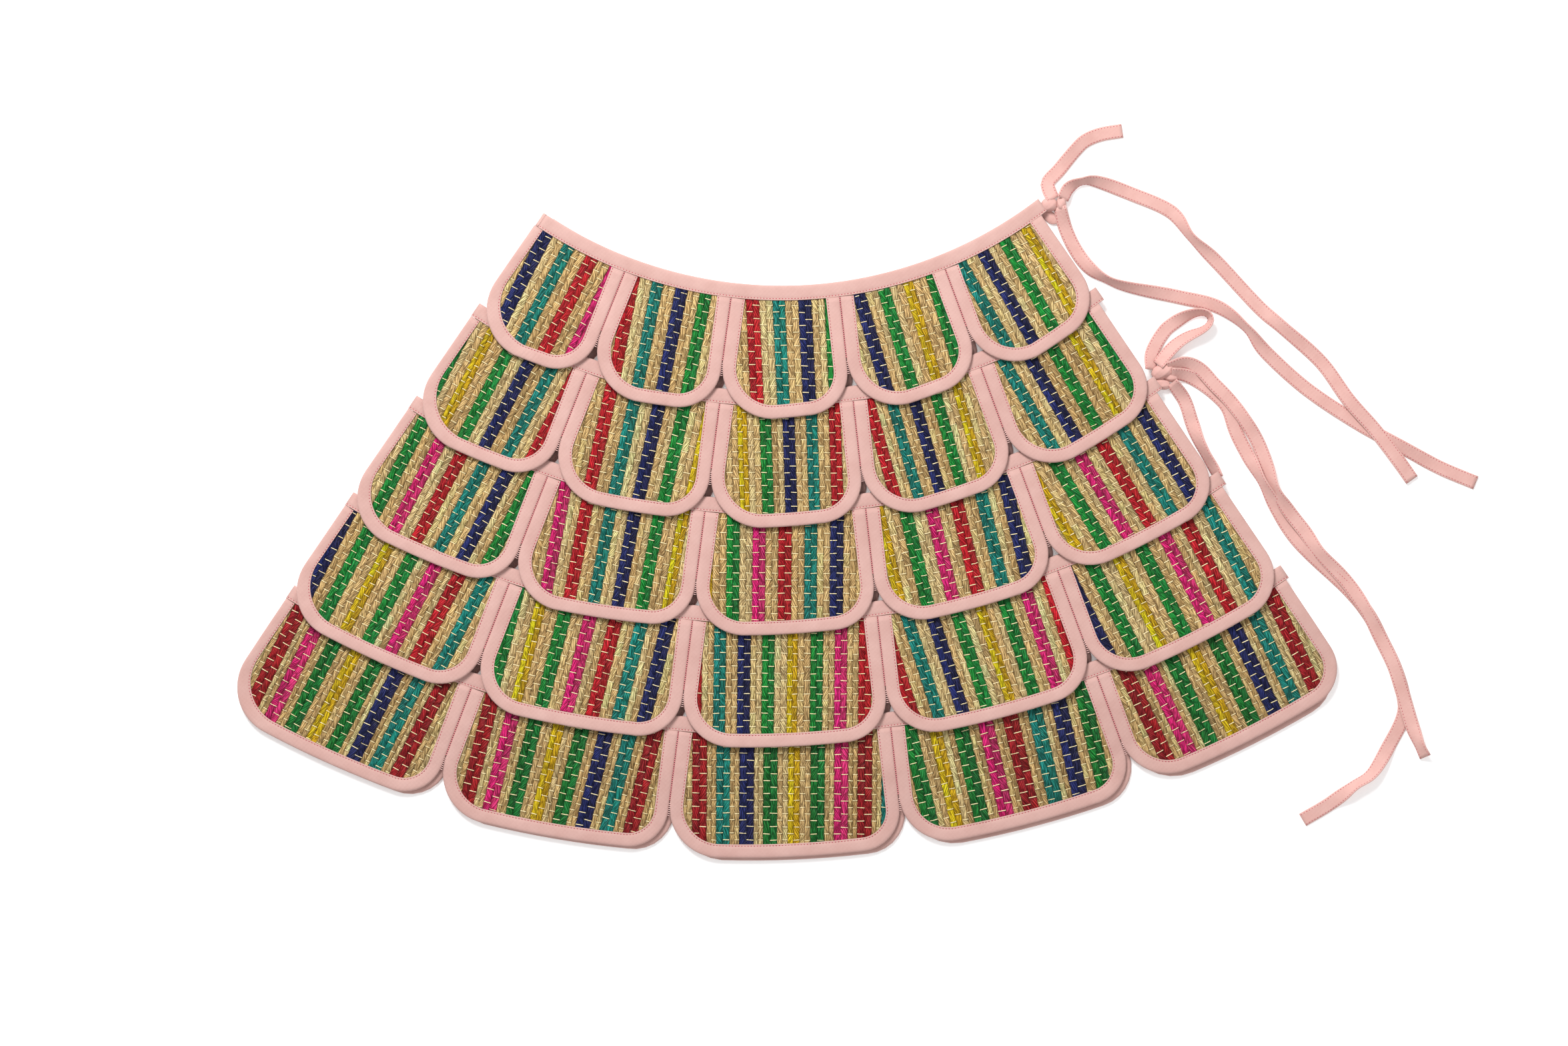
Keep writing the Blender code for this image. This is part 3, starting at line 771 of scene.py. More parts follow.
def mat_grid(tier, panel, seams, back):
    """The grid of one panel's bundles: its place in the weave (q, v) and in the panel (x, down)."""
    letters, middle, reference, width, start, lean = stripe_plan(tier, panel, seams)
    shares = BACK_COLUMN_SHARES if back else COLUMN_SHARES
    rows_per_cell = BACK_ROWS_PER_CELL if back else ROWS_PER_CELL
    half = (seams[panel + 1] - seams[panel]) / 2
    angles = (seams[panel], seams[panel + 1], middle)
    hem = max(hem_radius(tier, angle) for angle in angles)
    top = min(top_radius(tier, angle) for angle in angles) + BAND_WIDTH - 0.004
    bundles = bundle_range(start, width, hem * math.sin(half) + 0.008)
    first_row = math.floor(top * math.cos(half) / CELL * rows_per_cell)
    last_row = math.ceil(hem / CELL * rows_per_cell)
    q, v = np.meshgrid((bundles[:, None] + shares).ravel(),
                       np.arange(first_row, last_row + 1) / rows_per_cell)
    down = v * CELL
    x = start + (bundle_edges(letters, q, tier) + wave(q, v)) * width + (down - reference) * lean
    return letters, bundles, q, v, x, down, middle


def straw_faces(tier, flat, depth, share, back):
    """Heights of the bundles' round face and of the flat one: pressed at the tape, then free."""
    base = underside(tier, flat, back)
    free = ease(depth + STRAW_LEAD, STRAW_SWELL)
    if back:
        hang = BACK_STRAW_PRESSED * (1 - free) + (BACK_STRAW_LEAST + BACK_STRAW_RISE * share) * free
        return base + BACK_STRAW_LEVEL - hang, base + BACK_STRAW_TOP
    relief = STRAW_PRESSED * (1 - free) + STRAW_RISE * share * free
    return base + STRAW_BACKING + relief, base + STRAW_BACKING


def close_sides(quads, count):
    """The rim's points, and the faces with walls added from the rim to a second set of it."""
    directed = np.concatenate([quads[:, [k, (k + 1) % 4]] for k in range(4)])
    keys = directed[:, 0] * count + directed[:, 1]
    mirrored = directed[:, 1] * count + directed[:, 0]
    edges = directed[~np.isin(keys, mirrored)]
    rim = np.unique(edges)
    below = np.full(count, -1)
    below[rim] = np.arange(len(rim)) + count
    walls = np.stack((edges[:, 1], edges[:, 0], below[edges[:, 0]], below[edges[:, 1]]), axis=1)
    return rim, np.concatenate((quads, walls))


def mat_look(tier, panel, letters, bundles, q, v, rng):
    """Weave place and dyed colour, with the pairs' painted shade, of each face's corners, brighter
    or duller from cell to cell.
    """
    bundle = np.floor(q.mean(axis=1)).astype(int)
    shifted = v - 0.5 * (bundle % 2)[:, None]
    cell = np.floor(shifted.mean(axis=1)).astype(int)
    cell = cell - cell.min()
    colours = bundle_dyes(letters, bundles, tier, panel, rng)
    bright = rng.uniform(*CELL_SPREAD, (len(bundles) + 2, cell.max() + 1))
    slot = np.clip(bundle - bundles[0], 0, len(bundles) - 1)
    dye_and_shade = np.clip(colours[slot] * bright[slot, cell][:, None], 0.0, 1.0)
    return np.stack((q - bundles[0], shifted), axis=-1), np.repeat(dye_and_shade, 4, axis=0)


def make_mat(tier, panel, back):
    """Straw bundles side by side, raised over a flat underside and closed at the cut edges."""
    rng = np.random.default_rng(1000 * tier + 10 * panel + (500 if back else 0))
    seams = seam_angles(tier, back)
    letters, bundles, q, v, x, down, middle = mat_grid(tier, panel, seams, back)
    flat = down[..., None] * radial(middle) + x[..., None] * square(middle)
    depth = mat_depth(tier, panel, flat, seams)
    number = np.floor(q + 1e-6)
    from_thread = (v - 0.5 * (number % 2) + 0.5) % 1.0 - 0.5
    speck, ridge = ROUGHNESS
    rough = rng.uniform(-speck, speck, q.shape) + ridge * rng.standard_normal(q.shape[1])
    crown = mat_crown(2.0 * (q - number) - 1.0, from_thread)
    share = np.clip(crown + rough * ROUGH_SHARE, 0.15, 1.0)
    surface, other = (lay_down(flat, height, back).reshape(-1, 3)
                      for height in straw_faces(tier, flat, depth, share, back))
    quads = grid_faces(*q.shape)
    quads = quads[depth.ravel()[quads].mean(axis=1) > -STRAW_TUCK]
    used, packed = np.unique(quads, return_inverse=True)
    quads = packed.reshape(quads.shape)
    rim, faces = close_sides(quads, len(used))
    points = np.concatenate((surface[used], other[used[rim]]))
    place = np.concatenate((used, used[rim]))[faces]
    weave, dye_and_shade = mat_look(tier, panel, letters, bundles, q.ravel()[place], v.ravel()[place], rng)
    corners = flat.reshape(-1, 2)[used][quads]
    one, two = corners[:, 2] - corners[:, 0], corners[:, 3] - corners[:, 1]
    area = float(np.abs(one[:, 0] * two[:, 1] - one[:, 1] * two[:, 0]).sum() / 2)
    spans = [float(np.ptp(values.ravel()[used])) for values in (x, down)]
    return points, faces, weave, dye_and_shade, area, spans


def make_threads(tier, panel, back):
    """Cross threads: one float over each bundle in each cell, arched, its ends down in grooves."""
    rng = np.random.default_rng(7000 + 100 * tier + panel + (50 if back else 0))
    seams = seam_angles(tier, back)
    letters, middle, reference, width, start, lean = stripe_plan(tier, panel, seams)
    half = (seams[panel + 1] - seams[panel]) / 2
    top, hem = top_radius(tier, middle) * math.cos(half), hem_radius(tier, middle)
    bundles = bundle_range(start, width, hem * math.sin(half) + 0.012)
    rows = np.arange(math.floor(top / CELL), math.ceil((hem + 0.006) / CELL) + 1)
    k, n = (grid.ravel() for grid in np.meshgrid(bundles, rows))
    down = (n + 0.5 * (k % 2) + rng.uniform(-THREAD_STRAY, THREAD_STRAY, len(k))) * CELL
    edges = bundle_edges(letters, np.stack((k, k + 1 - 1e-6)).astype(float), tier)
    x = start + edges.mean(axis=0) * width + (down - reference) * lean
    flat = down[:, None] * radial(middle) + x[:, None] * square(middle)
    keep = mat_depth(tier, panel, flat, seams) > THREAD_MARGIN
    flat = flat[keep]
    count = len(flat)
    tilt = rng.uniform(-THREAD_TILT, THREAD_TILT, count)
    along = square(middle) + tilt[:, None] * radial(middle)
    half_length = (edges[1] - edges[0])[keep] * width / 2 * rng.uniform(*THREAD_REACH, count)

    def places(shares, rise):
        """Places at shares of the half length to each side of a thread's middle."""
        line = flat[:, None, :] + along[:, None, :] * (shares * half_length[:, None])[..., None]
        return lay_down(line, underside(tier, line, back) + rise, back)

    shares = BACK_THREAD_SHARES if back else THREAD_SHARES
    thick = BACK_THREAD_HALF if back else THREAD_HALF
    arch = mat_crown(shares, 0.0 * shares)
    rise = BACK_THREAD_BASE - BACK_STRAW_RISE * arch if back else THREAD_BASE + STRAW_RISE * arch
    sideways = np.stack((-along[:, 1], -along[:, 0], 0 * along[:, 0]), axis=1) * thick
    lift = UP * thick * 0.85 + 0 * sideways
    around = np.stack((sideways, lift, -sideways, -lift), axis=1)
    rings = places(shares, rise)[:, :, None, :] + around[:, None, :, :]
    tips = places(np.array((-1.0, 1.0)), BACK_THREAD_TIP if back else THREAD_TIP)
    points = np.concatenate((tips, rings.reshape(count, -1, 3)), axis=1)
    last = 2 + 4 * (len(shares) - 1)
    quads, fans = [], []
    for side in range(4):
        step = (side + 1) % 4
        fans += [(0, 2 + step, 2 + side), (1, last + side, last + step)]
        for low in range(2, last, 4):
            quads.append((low + side, low + step, low + 4 + step, low + 4 + side))
    first = (np.arange(count) * points.shape[1])[:, None, None]
    groups = [(first + np.array(kind)).reshape(-1, len(kind[0])) for kind in (quads, fans)]
    return points.reshape(-1, 3), *groups


def mat_piece(name, node, tier, panels, back=False):
    """Some panels' mats as one piece, and the flat area and spans of each."""
    mats = [make_mat(tier, panel, back) for panel in panels]
    points, groups = join_parts([mat[:2] for mat in mats])
    weaves, dyes, areas, spans = list(zip(*mats))[2:]
    piece = mesh_piece(name, points, groups, STRAW_DYED, np.concatenate(dyes),
                       np.concatenate(weaves), close_rims=True)
    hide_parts(node)
    return piece, areas, spans


def threads_piece(name, tier, panels, back=False):
    """Some panels' cross threads as one piece."""
    points, groups = join_parts([make_threads(tier, panel, back) for panel in panels])
    return mesh_piece(name, points, groups, THREAD_CREAM)


def make_front_mats():
    """A striped mat and its cross threads for each front panel."""
    for tier in range(1, TIERS + 1):
        for panel in range(PANELS):
            label = f"t{tier}_p{panel + 1}"
            piece, (area,), (spans,) = mat_piece(f"straw_mat_{label}", f"mat_{label}", tier, [panel])
            threads = threads_piece(f"cross_threads_{label}", tier, [panel])


def make_back_mats():
    """The five mats of each back tier as one piece, and their cross threads."""
    for tier in range(1, TIERS + 1):
        piece, areas, spans = mat_piece(f"back_mat_t{tier}", f"back_t{tier}", tier, range(PANELS),
                                        back=True)
        threads = threads_piece(f"back_threads_t{tier}", tier, range(PANELS), back=True)


# Tape round the panels and along the tiers' tops

# Stations along a tape's legs, corners and hem
TAPE_STEPS = {
    1: (14, 14, 20), 2: (12, 14, 22), 3: (12, 14, 26), 4: (12, 14, 30), 5: (16, 14, 32),
}
BACK_TAPE_STEPS = (5, 7, 8)
BAND_STATIONS = 150
BACK_BAND_STATIONS = 60

# Stitches lie in the section's dip: a share of the way from fold to inner edge, and their height
STITCH_SHARE = 0.885
STITCH_HEIGHT = 0.00282

# Pucker lifts the section's upper part: from what height, over what run and by how much
PUCKER_START = 0.0022
PUCKER_RUN = 0.0008
TAPE_PUCKER = 0.00012
BAND_PUCKER = 0.0001

# Threads at a seam: how far apart, how high over the underside and how they turn (radians). The
# bars lie in a run past the seam's end.
ZIGZAG_PITCH = 0.0015
ZIGZAG_HEIGHT = 0.0025
ZIGZAG_TURN = 0.6
BAR_PITCH = 0.0014
BAR_HEIGHT = 0.0029
BAR_TURN = 0.12
BAR_RUN = (0.0015, 0.0105)

# The waistband's fold: how far it bulges past the edge and half its height
FOLD_BULGE = 0.0026
FOLD_HALF = 0.0031

# The tape's section: distance in from its fold and height (mm), folded over the mat's edge
TAPE_SECTION = np.array((
    (9.8, 0.0), (7.0, 0.0), (2.2, 0.0), (0.9, 0.12), (0.25, 0.6), (0.0, 1.4), (0.10, 2.05),
    (0.45, 2.6), (1.2, 2.95), (2.6, 3.10), (4.4, 3.12), (6.2, 3.06), (7.5, 2.98), (8.2, 2.80),
    (8.6, 2.68), (9.0, 2.80), (9.5, 2.84), (9.85, 2.70), (9.8, 2.42), (7.5, 2.35),
    (2.4, 2.30), (1.6, 1.4), (2.4, 0.45), (9.8, 0.38),
)) * MM
BACK_TAPE_SECTION = np.array((
    (9.8, 0.0), (2.2, 0.0), (0.6, 0.3), (0.0, 1.5), (0.6, 2.7), (2.2, 3.0), (9.8, 3.0),
    (9.8, 2.65), (2.2, 2.5), (1.5, 1.5), (2.2, 0.5), (9.8, 0.35),
)) * MM


def carry_tape(outer, inner, tier, back=False, pucker=None):
    """The section set across each station, from the fold's line to the inner edge's line."""
    section = BACK_TAPE_SECTION if back else TAPE_SECTION
    share = (section[:, 0] / TAPE_WIDTH)[None, :, None]
    flat = outer[:, None, :] * (1 - share) + inner[:, None, :] * share
    lift = section[:, 1]
    if pucker is not None:
        top = np.clip((section[:, 1] - PUCKER_START) / PUCKER_RUN, 0.0, 1.0)
        lift = lift + pucker[:, None] * top
    return shell(lay_down(flat, underside(tier, flat, back) + lift, back))


def puckers(count, seed, size):
    """A few sine waves of odd lengths: the uneven rise of tape that is eased round a curve."""
    rng = np.random.default_rng(seed)
    steps = np.arange(count)
    total = 0.0
    for length in (3.1, 4.7, 7.9, 13.0):
        total = total + rng.uniform(0.3, 1.0) * np.sin(2 * np.pi * (steps / length + rng.uniform()))
    return size * total / 2.0


def panel_lines(tier, panel, steps, back=False):
    """The fold and the inner edge of the tape round a panel."""
    seams = seam_angles(tier, back)
    return [panel_loop(tier, panel, margin, seams, steps) for margin in (SEAM_GAP / 2, TAPE_WIDTH)]


def tape_piece(name, node, shells):
    """The shells as one piece of tape, in a solid's place if it has one."""
    piece = mesh_piece(name, *join_parts(shells), COTTON_TAPE)
    if node:
        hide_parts(node)
    return piece


def edge_stitches(name, tier, lines):
    """Stitches in the dip beside the tape's inner edge."""
    rows = []
    for outer, inner in lines:
        line = outer * (1 - STITCH_SHARE) + inner * STITCH_SHARE
        rows.append(stitch_row(lay_down(line, underside(tier, line) + STITCH_HEIGHT)))
    return dashes(name, rows, TAPE_STITCH, STITCH_THREAD)


def make_front_tapes():
    """The tape round a tier's five panels as one piece, with all its stitches."""
    for tier in range(1, TIERS + 1):
        lines = [panel_lines(tier, panel, TAPE_STEPS[tier]) for panel in range(PANELS)]
        shells = []
        for panel, (outer, inner) in enumerate(lines):
            pucker = puckers(len(outer), 300 + 10 * tier + panel, TAPE_PUCKER)
            shells.append(carry_tape(outer, inner, tier, pucker=pucker))
        piece = tape_piece(f"tape_t{tier}", f"binding_t{tier}", shells)
        stitches = [edge_stitches(f"tape_stitches_t{tier}", tier, lines), *seam_threads(tier)]


def seam_row(tier, angle, radius, aside, heading, lift):
    """Middles and directions of dashes along one seam, at a lift over the tier's underside."""
    flat = radius[:, None] * radial(angle) + aside * square(angle)
    middles = lay_down(flat, front_height(tier, radius, angle) + lift)
    return middles, np.stack((heading[:, 0], -heading[:, 1], 0 * radius), axis=1)


def seam_threads(tier):
    """Zigzags down in the groove between two panels' tapes, and bars of pale thread across the
    seam's end, where the two round corners part."""
    zigzags, bars = [], []
    for angle in seam_angles(tier)[1:-1]:
        end = corner_of(tier, angle, 1, 0.0)[0]
        start = top_radius(tier, angle) + BAND_WIDTH + 0.0008
        radius = np.arange(start, end - 0.001, ZIGZAG_PITCH)
        turn = np.where(np.arange(len(radius)) % 2 == 0, ZIGZAG_TURN, -ZIGZAG_TURN)
        heading = np.cos(turn)[:, None] * radial(angle) + np.sin(turn)[:, None] * square(angle)
        zigzags.append(seam_row(tier, angle, radius, 0.0, heading, ZIGZAG_HEIGHT))
        radius = end + np.arange(*BAR_RUN, BAR_PITCH)
        heading = square(angle + BAR_TURN * np.cos(7.0 * np.arange(len(radius))))
        bars.append(seam_row(tier, angle, radius, 0.0004, heading, BAR_HEIGHT))
    return (dashes(f"seam_stitches_t{tier}", zigzags, SEAM_STITCH, SEAM_THREAD),
            dashes(f"seam_bars_t{tier}", bars, SEAM_BAR, BAR_THREAD))


def band_lines(tier, seams, overhang, count):
    """The band's fold and its lower edge: arcs from the first seam to past the last."""
    last = seams[-1] + overhang / top_radius(tier, seams[-1])
    first = seams[0] + (WAIST_FOLD_INSET / top_radius(1, seams[0]) if tier == 1 else 0.0)
    angle = np.linspace(first, last, count)
    top = top_radius(tier, angle)
    return top[:, None] * radial(angle), (top + BAND_WIDTH)[:, None] * radial(angle)


def make_front_bands():
    """The waistband and the tape along each lower tier's top, with stitches."""
    for tier in range(1, TIERS + 1):
        lines = [band_lines(tier, seam_angles(tier), BAND_OVERHANG[tier], BAND_STATIONS)]
        outer, inner = lines[0]
        pucker = puckers(len(outer), 900 + tier, BAND_PUCKER)
        shells = [carry_tape(outer, inner, tier, pucker=pucker)]
        if tier == 1:
            shells.append(waist_fold(outer[0], inner[0]))
        name = "waist_tape" if tier == 1 else f"top_tape_t{tier}"
        node = "waistband_front" if tier == 1 else f"band_front_t{tier}"
        piece = tape_piece(name, node, shells)
        stitches = [edge_stitches(f"{name}_stitches", tier, lines)]


def waist_fold(outer, inner):
    """The waistband's turn round the left edge: half rounds set across the band's width."""
    turn = np.linspace(0.0, np.pi, 11)
    bulge, rise = FOLD_BULGE * np.sin(turn), FOLD_HALF + FOLD_HALF * np.cos(turn)
    away = np.array((inner - outer)[::-1]) * (1.0, -1.0)
    away = away / np.linalg.norm(away)
    away = away if away[0] < 0 else -away
    across = np.linspace(0.0, 1.0, 7)[:, None, None]
    return shell(lay_down(outer * (1 - across) + inner * across + away * bulge[:, None], rise))


def make_back_tapes():
    """The tape round each back tier's panels and along its top, unstitched."""
    for tier in range(1, TIERS + 1):
        rounds = [panel_lines(tier, panel, BACK_TAPE_STEPS, back=True) for panel in range(PANELS)]
        top = [band_lines(tier, seam_angles(tier, back=True), 0.0, BACK_BAND_STATIONS)]
        band = "back_waist_tape" if tier == 1 else f"back_top_tape_t{tier}"
        solid = "waistband_back" if tier == 1 else f"band_back_t{tier}"
        for name, node, lines in ((f"back_tape_t{tier}", None, rounds), (band, solid, top)):
            shells = [carry_tape(outer, inner, tier, back=True) for outer, inner in lines]
            tape_piece(name, node, shells)


# Ribbon ties

RIBBON_WIDTH = 0.0100
RIBBON_THICK = 0.0011
RIBBON_STEP = 0.0028
RIBBON_STITCH_SHARE = 0.76

# Each ribbon's middle line: x, y, height of its lower face (mm) and roll (degrees)
RIBBONS = {
    "short_tail": (
        (184, 263.5, 3.4, 20), (181.2, 270, 1.0, 5), (180.6, 276, 0.2, 0), (188, 284, 0, 0),
        (194.5, 292, 0, 10), (200.5, 299, 0, 15), (207, 305, 0, 10), (218, 309.5, 0, 0),
        (233, 312, 0, 0),
    ),
    "long_upper": (
        (190.6, 263.5, 3.2, 30), (195, 271.5, 0.8, 25), (204, 276, 0, 62), (215, 276, 0, 35),
        (238, 268, 0, 0), (267, 255, 0, 10), (281, 237, 0, 60), (300, 219, 0, 10),
        (329, 188, 0, 0), (346, 173, 0, 25), (373, 149, 0, 0), (392, 122.5, 1.8, 5),
        (411, 101, 1.8, 0), (427, 80, 1.8, 0), (437, 66, 1.0, 0),
    ),
    "long_lower": (
        (188.6, 258, 3.0, 30), (192.5, 244, 0.3, 5), (199.5, 229, 0, 0), (209, 216, 0, 20),
        (221, 207.5, 0, 60), (236, 202, 0, 45), (272, 195, 0, 5), (300, 188, 0, 20),
        (320, 173, 0, 60), (334, 156, 0, 15), (363, 130, 0, 0), (399, 106, 0, 0),
        (430, 89, 0, 20), (456, 75, 0, 0), (482, 64, 0, 0),
    ),
    "bow_loop": (
        (252.5, 143.5, 3.0, 35), (254, 156, 0.3, 5), (262, 170, 0, 0), (270, 177, 0, 10),
        (279, 182, 0, 40), (287, 184, 0, 60), (292.5, 183, 0, 68), (295, 179, 0, 72),
        (293, 174.5, 0, 68), (288, 171, 0, 60), (281, 168, 0, 45), (274, 164, 0, 35),
        (267, 158, 0, 25), (257.5, 147, 3.0, 35),
    ),
    "upper_strand": (
        (264.5, 145, 3.0, 40), (276.5, 148.5, 2.5, 30), (287.5, 144, 1.8, 5), (297, 134, 1.8, 0),
        (308, 122.5, 1.8, 0), (319, 108, 1.8, 20), (328, 93, 1.8, 0), (334.5, 76, 1.8, 20),
        (340, 59, 1.8, 50), (350, 44, 1.8, 10), (361, 30, 1.8, 0), (371, 15, 1.8, 30),
        (391, -6, 1.8, 0), (405, -27, 1.8, 30), (415, -46, 1.8, 5), (424, -65, 1.8, 15),
        (430.5, -85, 1.8, 0), (436.5, -106, 1.8, 10), (441.5, -120, 1.2, 50), (446, -129, 0, 40),
    ),
    "lower_strand": (
        (267, 141, 3.0, 40), (278, 139.5, 0.6, 20), (288, 134.5, 0, 0), (298, 127, 0, 0),
        (307, 117, 0, 10), (313, 100, 0, 0), (321, 84, 0, 10), (331, 65, 0, 58),
        (341, 47, 0, 15), (352, 29, 0, 0), (366, 13, 0, 20), (391, -10, 0, 10),
        (406, -28, 0, 0), (416, -47, 0, 0), (425, -66, 0, 0), (431, -86, 0, 0),
        (431, -100, 0, 0), (422, -119, 0, 0), (409, -140, 0, 40), (396, -149, 0, 50),
        (380, -161.5, 0, 0), (360, -173.5, 0, 0),
    ),
    "tucked_strand": (
        (267.5, 134.5, 3.0, 40), (276.5, 122.5, 0.4, 0), (281.5, 108, 0, 0), (285.5, 96, 0, 35),
        (291.5, 84, 0, 50), (297, 74.5, 0, 45), (300.5, 67.5, 0, 55),
    ),
}


def smooth_route(points):
    """A rounded curve through a route's points, each with its height and roll, at even steps."""
    points = np.array(points, float) * (MM, MM, MM, 1.0)
    first, last = 2 * points[0] - points[1], 2 * points[-1] - points[-2]
    framed = np.vstack((first, points, last))
    before, start, stop, after = (framed[i:i + len(points) - 1, None, :] for i in range(4))
    t = np.linspace(0.0, 1.0, 14, endpoint=False)[None, :, None]
    curve = 0.5 * (2 * start + (stop - before) * t
                   + (2 * before - 5 * start + 4 * stop - after) * t ** 2
                   + (3 * start - before - 3 * stop + after) * t ** 3)
    curve = np.vstack((curve.reshape(-1, 4), points[-1:]))
    run = distance_run(curve[:, :2])
    marks = np.linspace(0.0, run[-1], max(8, round(run[-1] / RIBBON_STEP)) + 1)
    return read_at(marks, run, curve), run[-1]


def ribbon_section():
    """A flat strip with soft edges: twelve points, across and up, in metres."""
    a, b = RIBBON_WIDTH / 2, RIBBON_THICK / 2
    across = np.array((-1.0, -0.94, -0.60, 0.0, 0.60, 0.94, 1.0, 0.94, 0.60, 0.0, -0.60, -0.94)) * a
    up = np.array((0.0, 0.85, 1.0, 0.72, 1.0, 0.85, 0.0, -0.85, -1.0, -0.9, -1.0, -0.85)) * b
    return across, up


def make_ribbon(label):
    """The strip's section carried along its route, rolled on edge where it turns."""
    route, length = smooth_route(RIBBONS[label])
    roll = np.radians(route[:, 3])
    line = route[:, :3].copy()
    line[:, 2] = np.maximum(line[:, 2], 0.0) + RIBBON_THICK * 0.55
    line[:, 2] += RIBBON_WIDTH / 2 * np.abs(np.sin(roll))
    left = left_of(line * (1.0, 1.0, 0.0))
    side = left * np.cos(roll)[:, None] + UP * np.sin(roll)[:, None]
    face = UP * np.cos(roll)[:, None] - left * np.sin(roll)[:, None]
    across, rise = ribbon_section()
    rings = (line[:, None, :] + side[:, None, :] * across[None, :, None]
             + face[:, None, :] * rise[None, :, None])
    piece = mesh_piece(f"ribbon_{label}", *join_parts([shell(rings)]), COTTON_RIBBON)
    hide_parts(f"tie_{label}")
    rows, ups = [], []
    for edge in (-RIBBON_STITCH_SHARE, RIBBON_STITCH_SHARE):
        row = line + side * edge * RIBBON_WIDTH / 2 + face * RIBBON_THICK * 0.5
        rows.append(stitch_row(row))
        marks = np.linspace(0, len(row) - 1, len(rows[-1][0]) + 1)
        faces = read_at((marks[1:] + marks[:-1]) / 2, np.arange(len(row)), face)
        ups.append(faces / np.linalg.norm(faces, axis=1)[:, None])
    stitches = dashes(f"ribbon_{label}_stitches", rows, RIBBON_STITCH, STITCH_THREAD,
                      np.concatenate(ups))


KNOT_RINGS = 26
KNOT_SIDES = 40

# Knots: each wrap is a lump of tightened ribbon: x, y, z of its middle, half length, half width,
# half height (mm), turn (degrees) and the number and depth of its creases
KNOTS = {
    "upper": (
        (181.2, 259.6, 4.0, 5.6, 5.3, 4.0, 12, 3, 0.08),
        (189.9, 260.4, 4.2, 4.8, 3.8, 4.2, 95, 4, 0.12),
        (182.2, 251.0, 1.4, 6.2, 4.2, 1.4, -35, 2, 0.08),
    ),
    "lower": (
        (261.0, 142.4, 4.5, 8.2, 5.7, 4.4, 24, 3, 0.10),
        (260.6, 133.6, 3.2, 6.0, 4.2, 3.2, -14, 3, 0.12),
        (266.6, 138.4, 3.2, 5.2, 3.6, 3.2, -20, 3, 0.10),
    ),
}


def make_knot(label):
    """Rounded lumps with creases that run round them, pulled in along each crease."""
    theta = np.linspace(0.0, np.pi, KNOT_RINGS)[:, None]
    phi = np.linspace(0.0, 2 * np.pi, KNOT_SIDES, endpoint=False)[None, :]
    parts = []
    for x, y, z, length, width, height, turn, creases, depth in KNOTS[label]:
        ridge = 1.0 - depth * np.abs(np.sin(creases * (phi + 0.6 * np.cos(theta)))) ** 0.5
        ridge = ridge * (1.0 + 0.05 * np.sin(3 * theta + 2 * phi))
        body = np.sin(theta) ** 0.8 * ridge
        local = np.stack((np.cos(theta) * length + 0 * phi, body * np.cos(phi) * width,
                          body * np.sin(phi) * height), axis=-1)
        cos, sin = math.cos(math.radians(turn)), math.sin(math.radians(turn))
        spun = np.stack((x + local[..., 0] * cos - local[..., 1] * sin,
                         y + local[..., 0] * sin + local[..., 1] * cos,
                         np.maximum(z + local[..., 2], 0.15)), axis=-1) * MM
        parts.append((spun.reshape(-1, 3), grid_faces(KNOT_RINGS, KNOT_SIDES, wrap=True)))
    piece = mesh_piece(f"ribbon_knot_{label}", *join_parts(parts), COTTON_RIBBON, weld=True)
    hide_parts(f"tie_knot_{label}")


# Floor, camera and lights

CAMERA_HEIGHT = 3.0
VIEW_CENTRE = (-0.0054, 0.0357)
VIEW_WIDTH = 1.105
SENSOR_WIDTH = 36.0
FLOOR_HALF = 6.0
FLOOR_HEIGHT = -0.0002
# Name, place, width of the round face (m) and power (W) of each lamp
LAMPS = (
    ("key", (-0.7, 1.7, 1.9), 1.0, 78.0),
    ("fill", (1.4, -0.4, 2.2), 2.0, 12.0),
)
SURROUND_LIGHT = 0.52


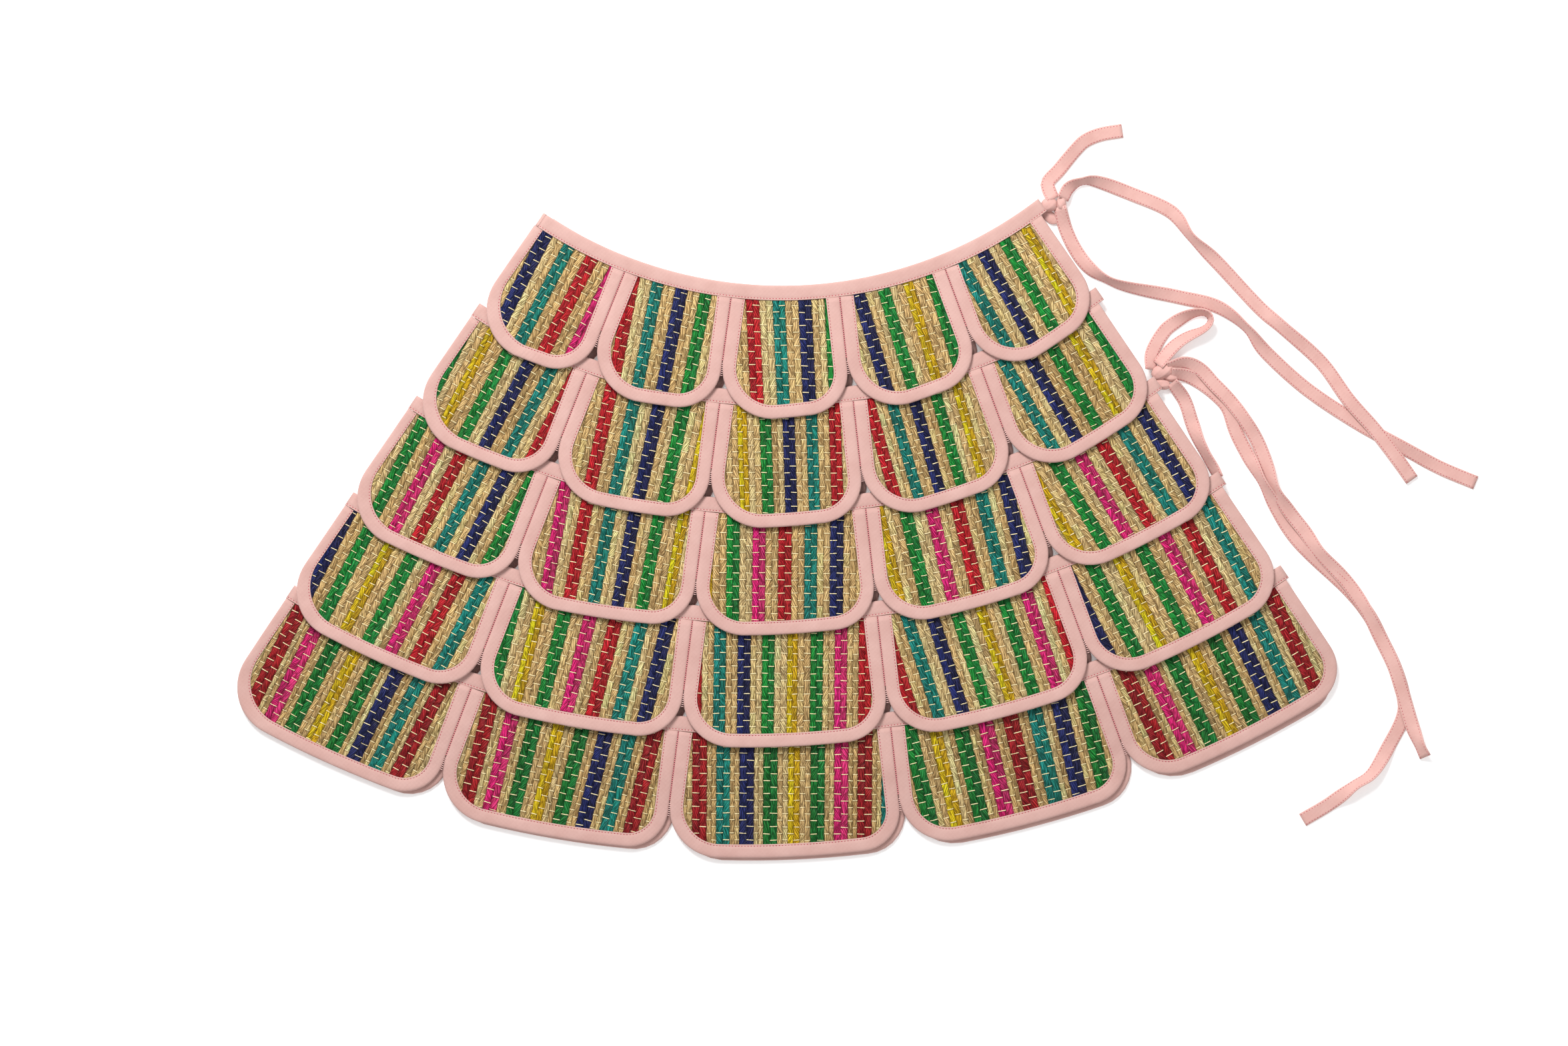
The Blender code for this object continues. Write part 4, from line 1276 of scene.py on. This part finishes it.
def make_floor():
    """A plain pale floor that glows a little, as the photo's ground is white."""
    corners = [(x * FLOOR_HALF, y * FLOOR_HALF, FLOOR_HEIGHT)
               for x, y in ((-1, -1), (1, -1), (1, 1), (-1, 1))]
    mesh = bpy.data.meshes.new("floor")
    mesh.from_pydata(corners, [], [(0, 1, 2, 3)])
    floor = bpy.data.objects.new("floor", mesh)
    bpy.context.scene.collection.objects.link(floor)
    material, w, shader = new_material("pale_floor")
    place = w.node("ShaderNodeTexCoord")
    grain = w.noise(place.outputs["Object"], 3.0, 2.0)
    w.feed(shader.inputs["Base Color"],
           w.mix(grain, (0.93, 0.93, 0.93, 1.0), (0.95, 0.95, 0.95, 1.0)))
    shader.inputs["Roughness"].default_value = 0.9
    shader.inputs["Specular IOR Level"].default_value = 0.1
    shader.inputs["Emission Color"].default_value = (1.0, 1.0, 1.0, 1.0)
    shader.inputs["Emission Strength"].default_value = 0.22
    mesh.materials.append(material)


def make_camera():
    """A camera that looks straight down, far enough off to keep the view nearly flat."""
    camera = bpy.data.cameras.new("camera")
    camera.sensor_width = SENSOR_WIDTH
    camera.lens = SENSOR_WIDTH * CAMERA_HEIGHT / VIEW_WIDTH
    holder = bpy.data.objects.new("camera", camera)
    holder.location = (*VIEW_CENTRE, CAMERA_HEIGHT)
    bpy.context.scene.collection.objects.link(holder)
    bpy.context.scene.camera = holder


def make_lights():
    """Round lamps turned towards the fan's origin, and an even white surround."""
    for name, (x, y, z), size, power in LAMPS:
        light = bpy.data.lights.new(name, "AREA")
        light.shape = "DISK"
        light.size = size
        light.energy = power
        lamp = bpy.data.objects.new(name, light)
        lamp.location = (x, y, z)
        lamp.rotation_euler = (math.atan2(math.hypot(x, y), z), 0.0,
                               math.atan2(-y, -x) - math.pi / 2)
        bpy.context.scene.collection.objects.link(lamp)
    world = bpy.data.worlds.new("studio")
    world.use_nodes = True
    surround = world.node_tree.nodes["Background"]
    surround.inputs[0].default_value = (1.0, 1.0, 1.0, 1.0)
    surround.inputs[1].default_value = SURROUND_LIGHT
    bpy.context.scene.world = world
    bpy.context.scene.view_settings.view_transform = "Standard"


make_floor()
make_camera()
make_lights()
make_back_mats()
make_front_mats()
make_front_tapes()
make_front_bands()
make_back_tapes()
for ribbon in RIBBONS:
    make_ribbon(ribbon)
for knot in KNOTS:
    make_knot(knot)
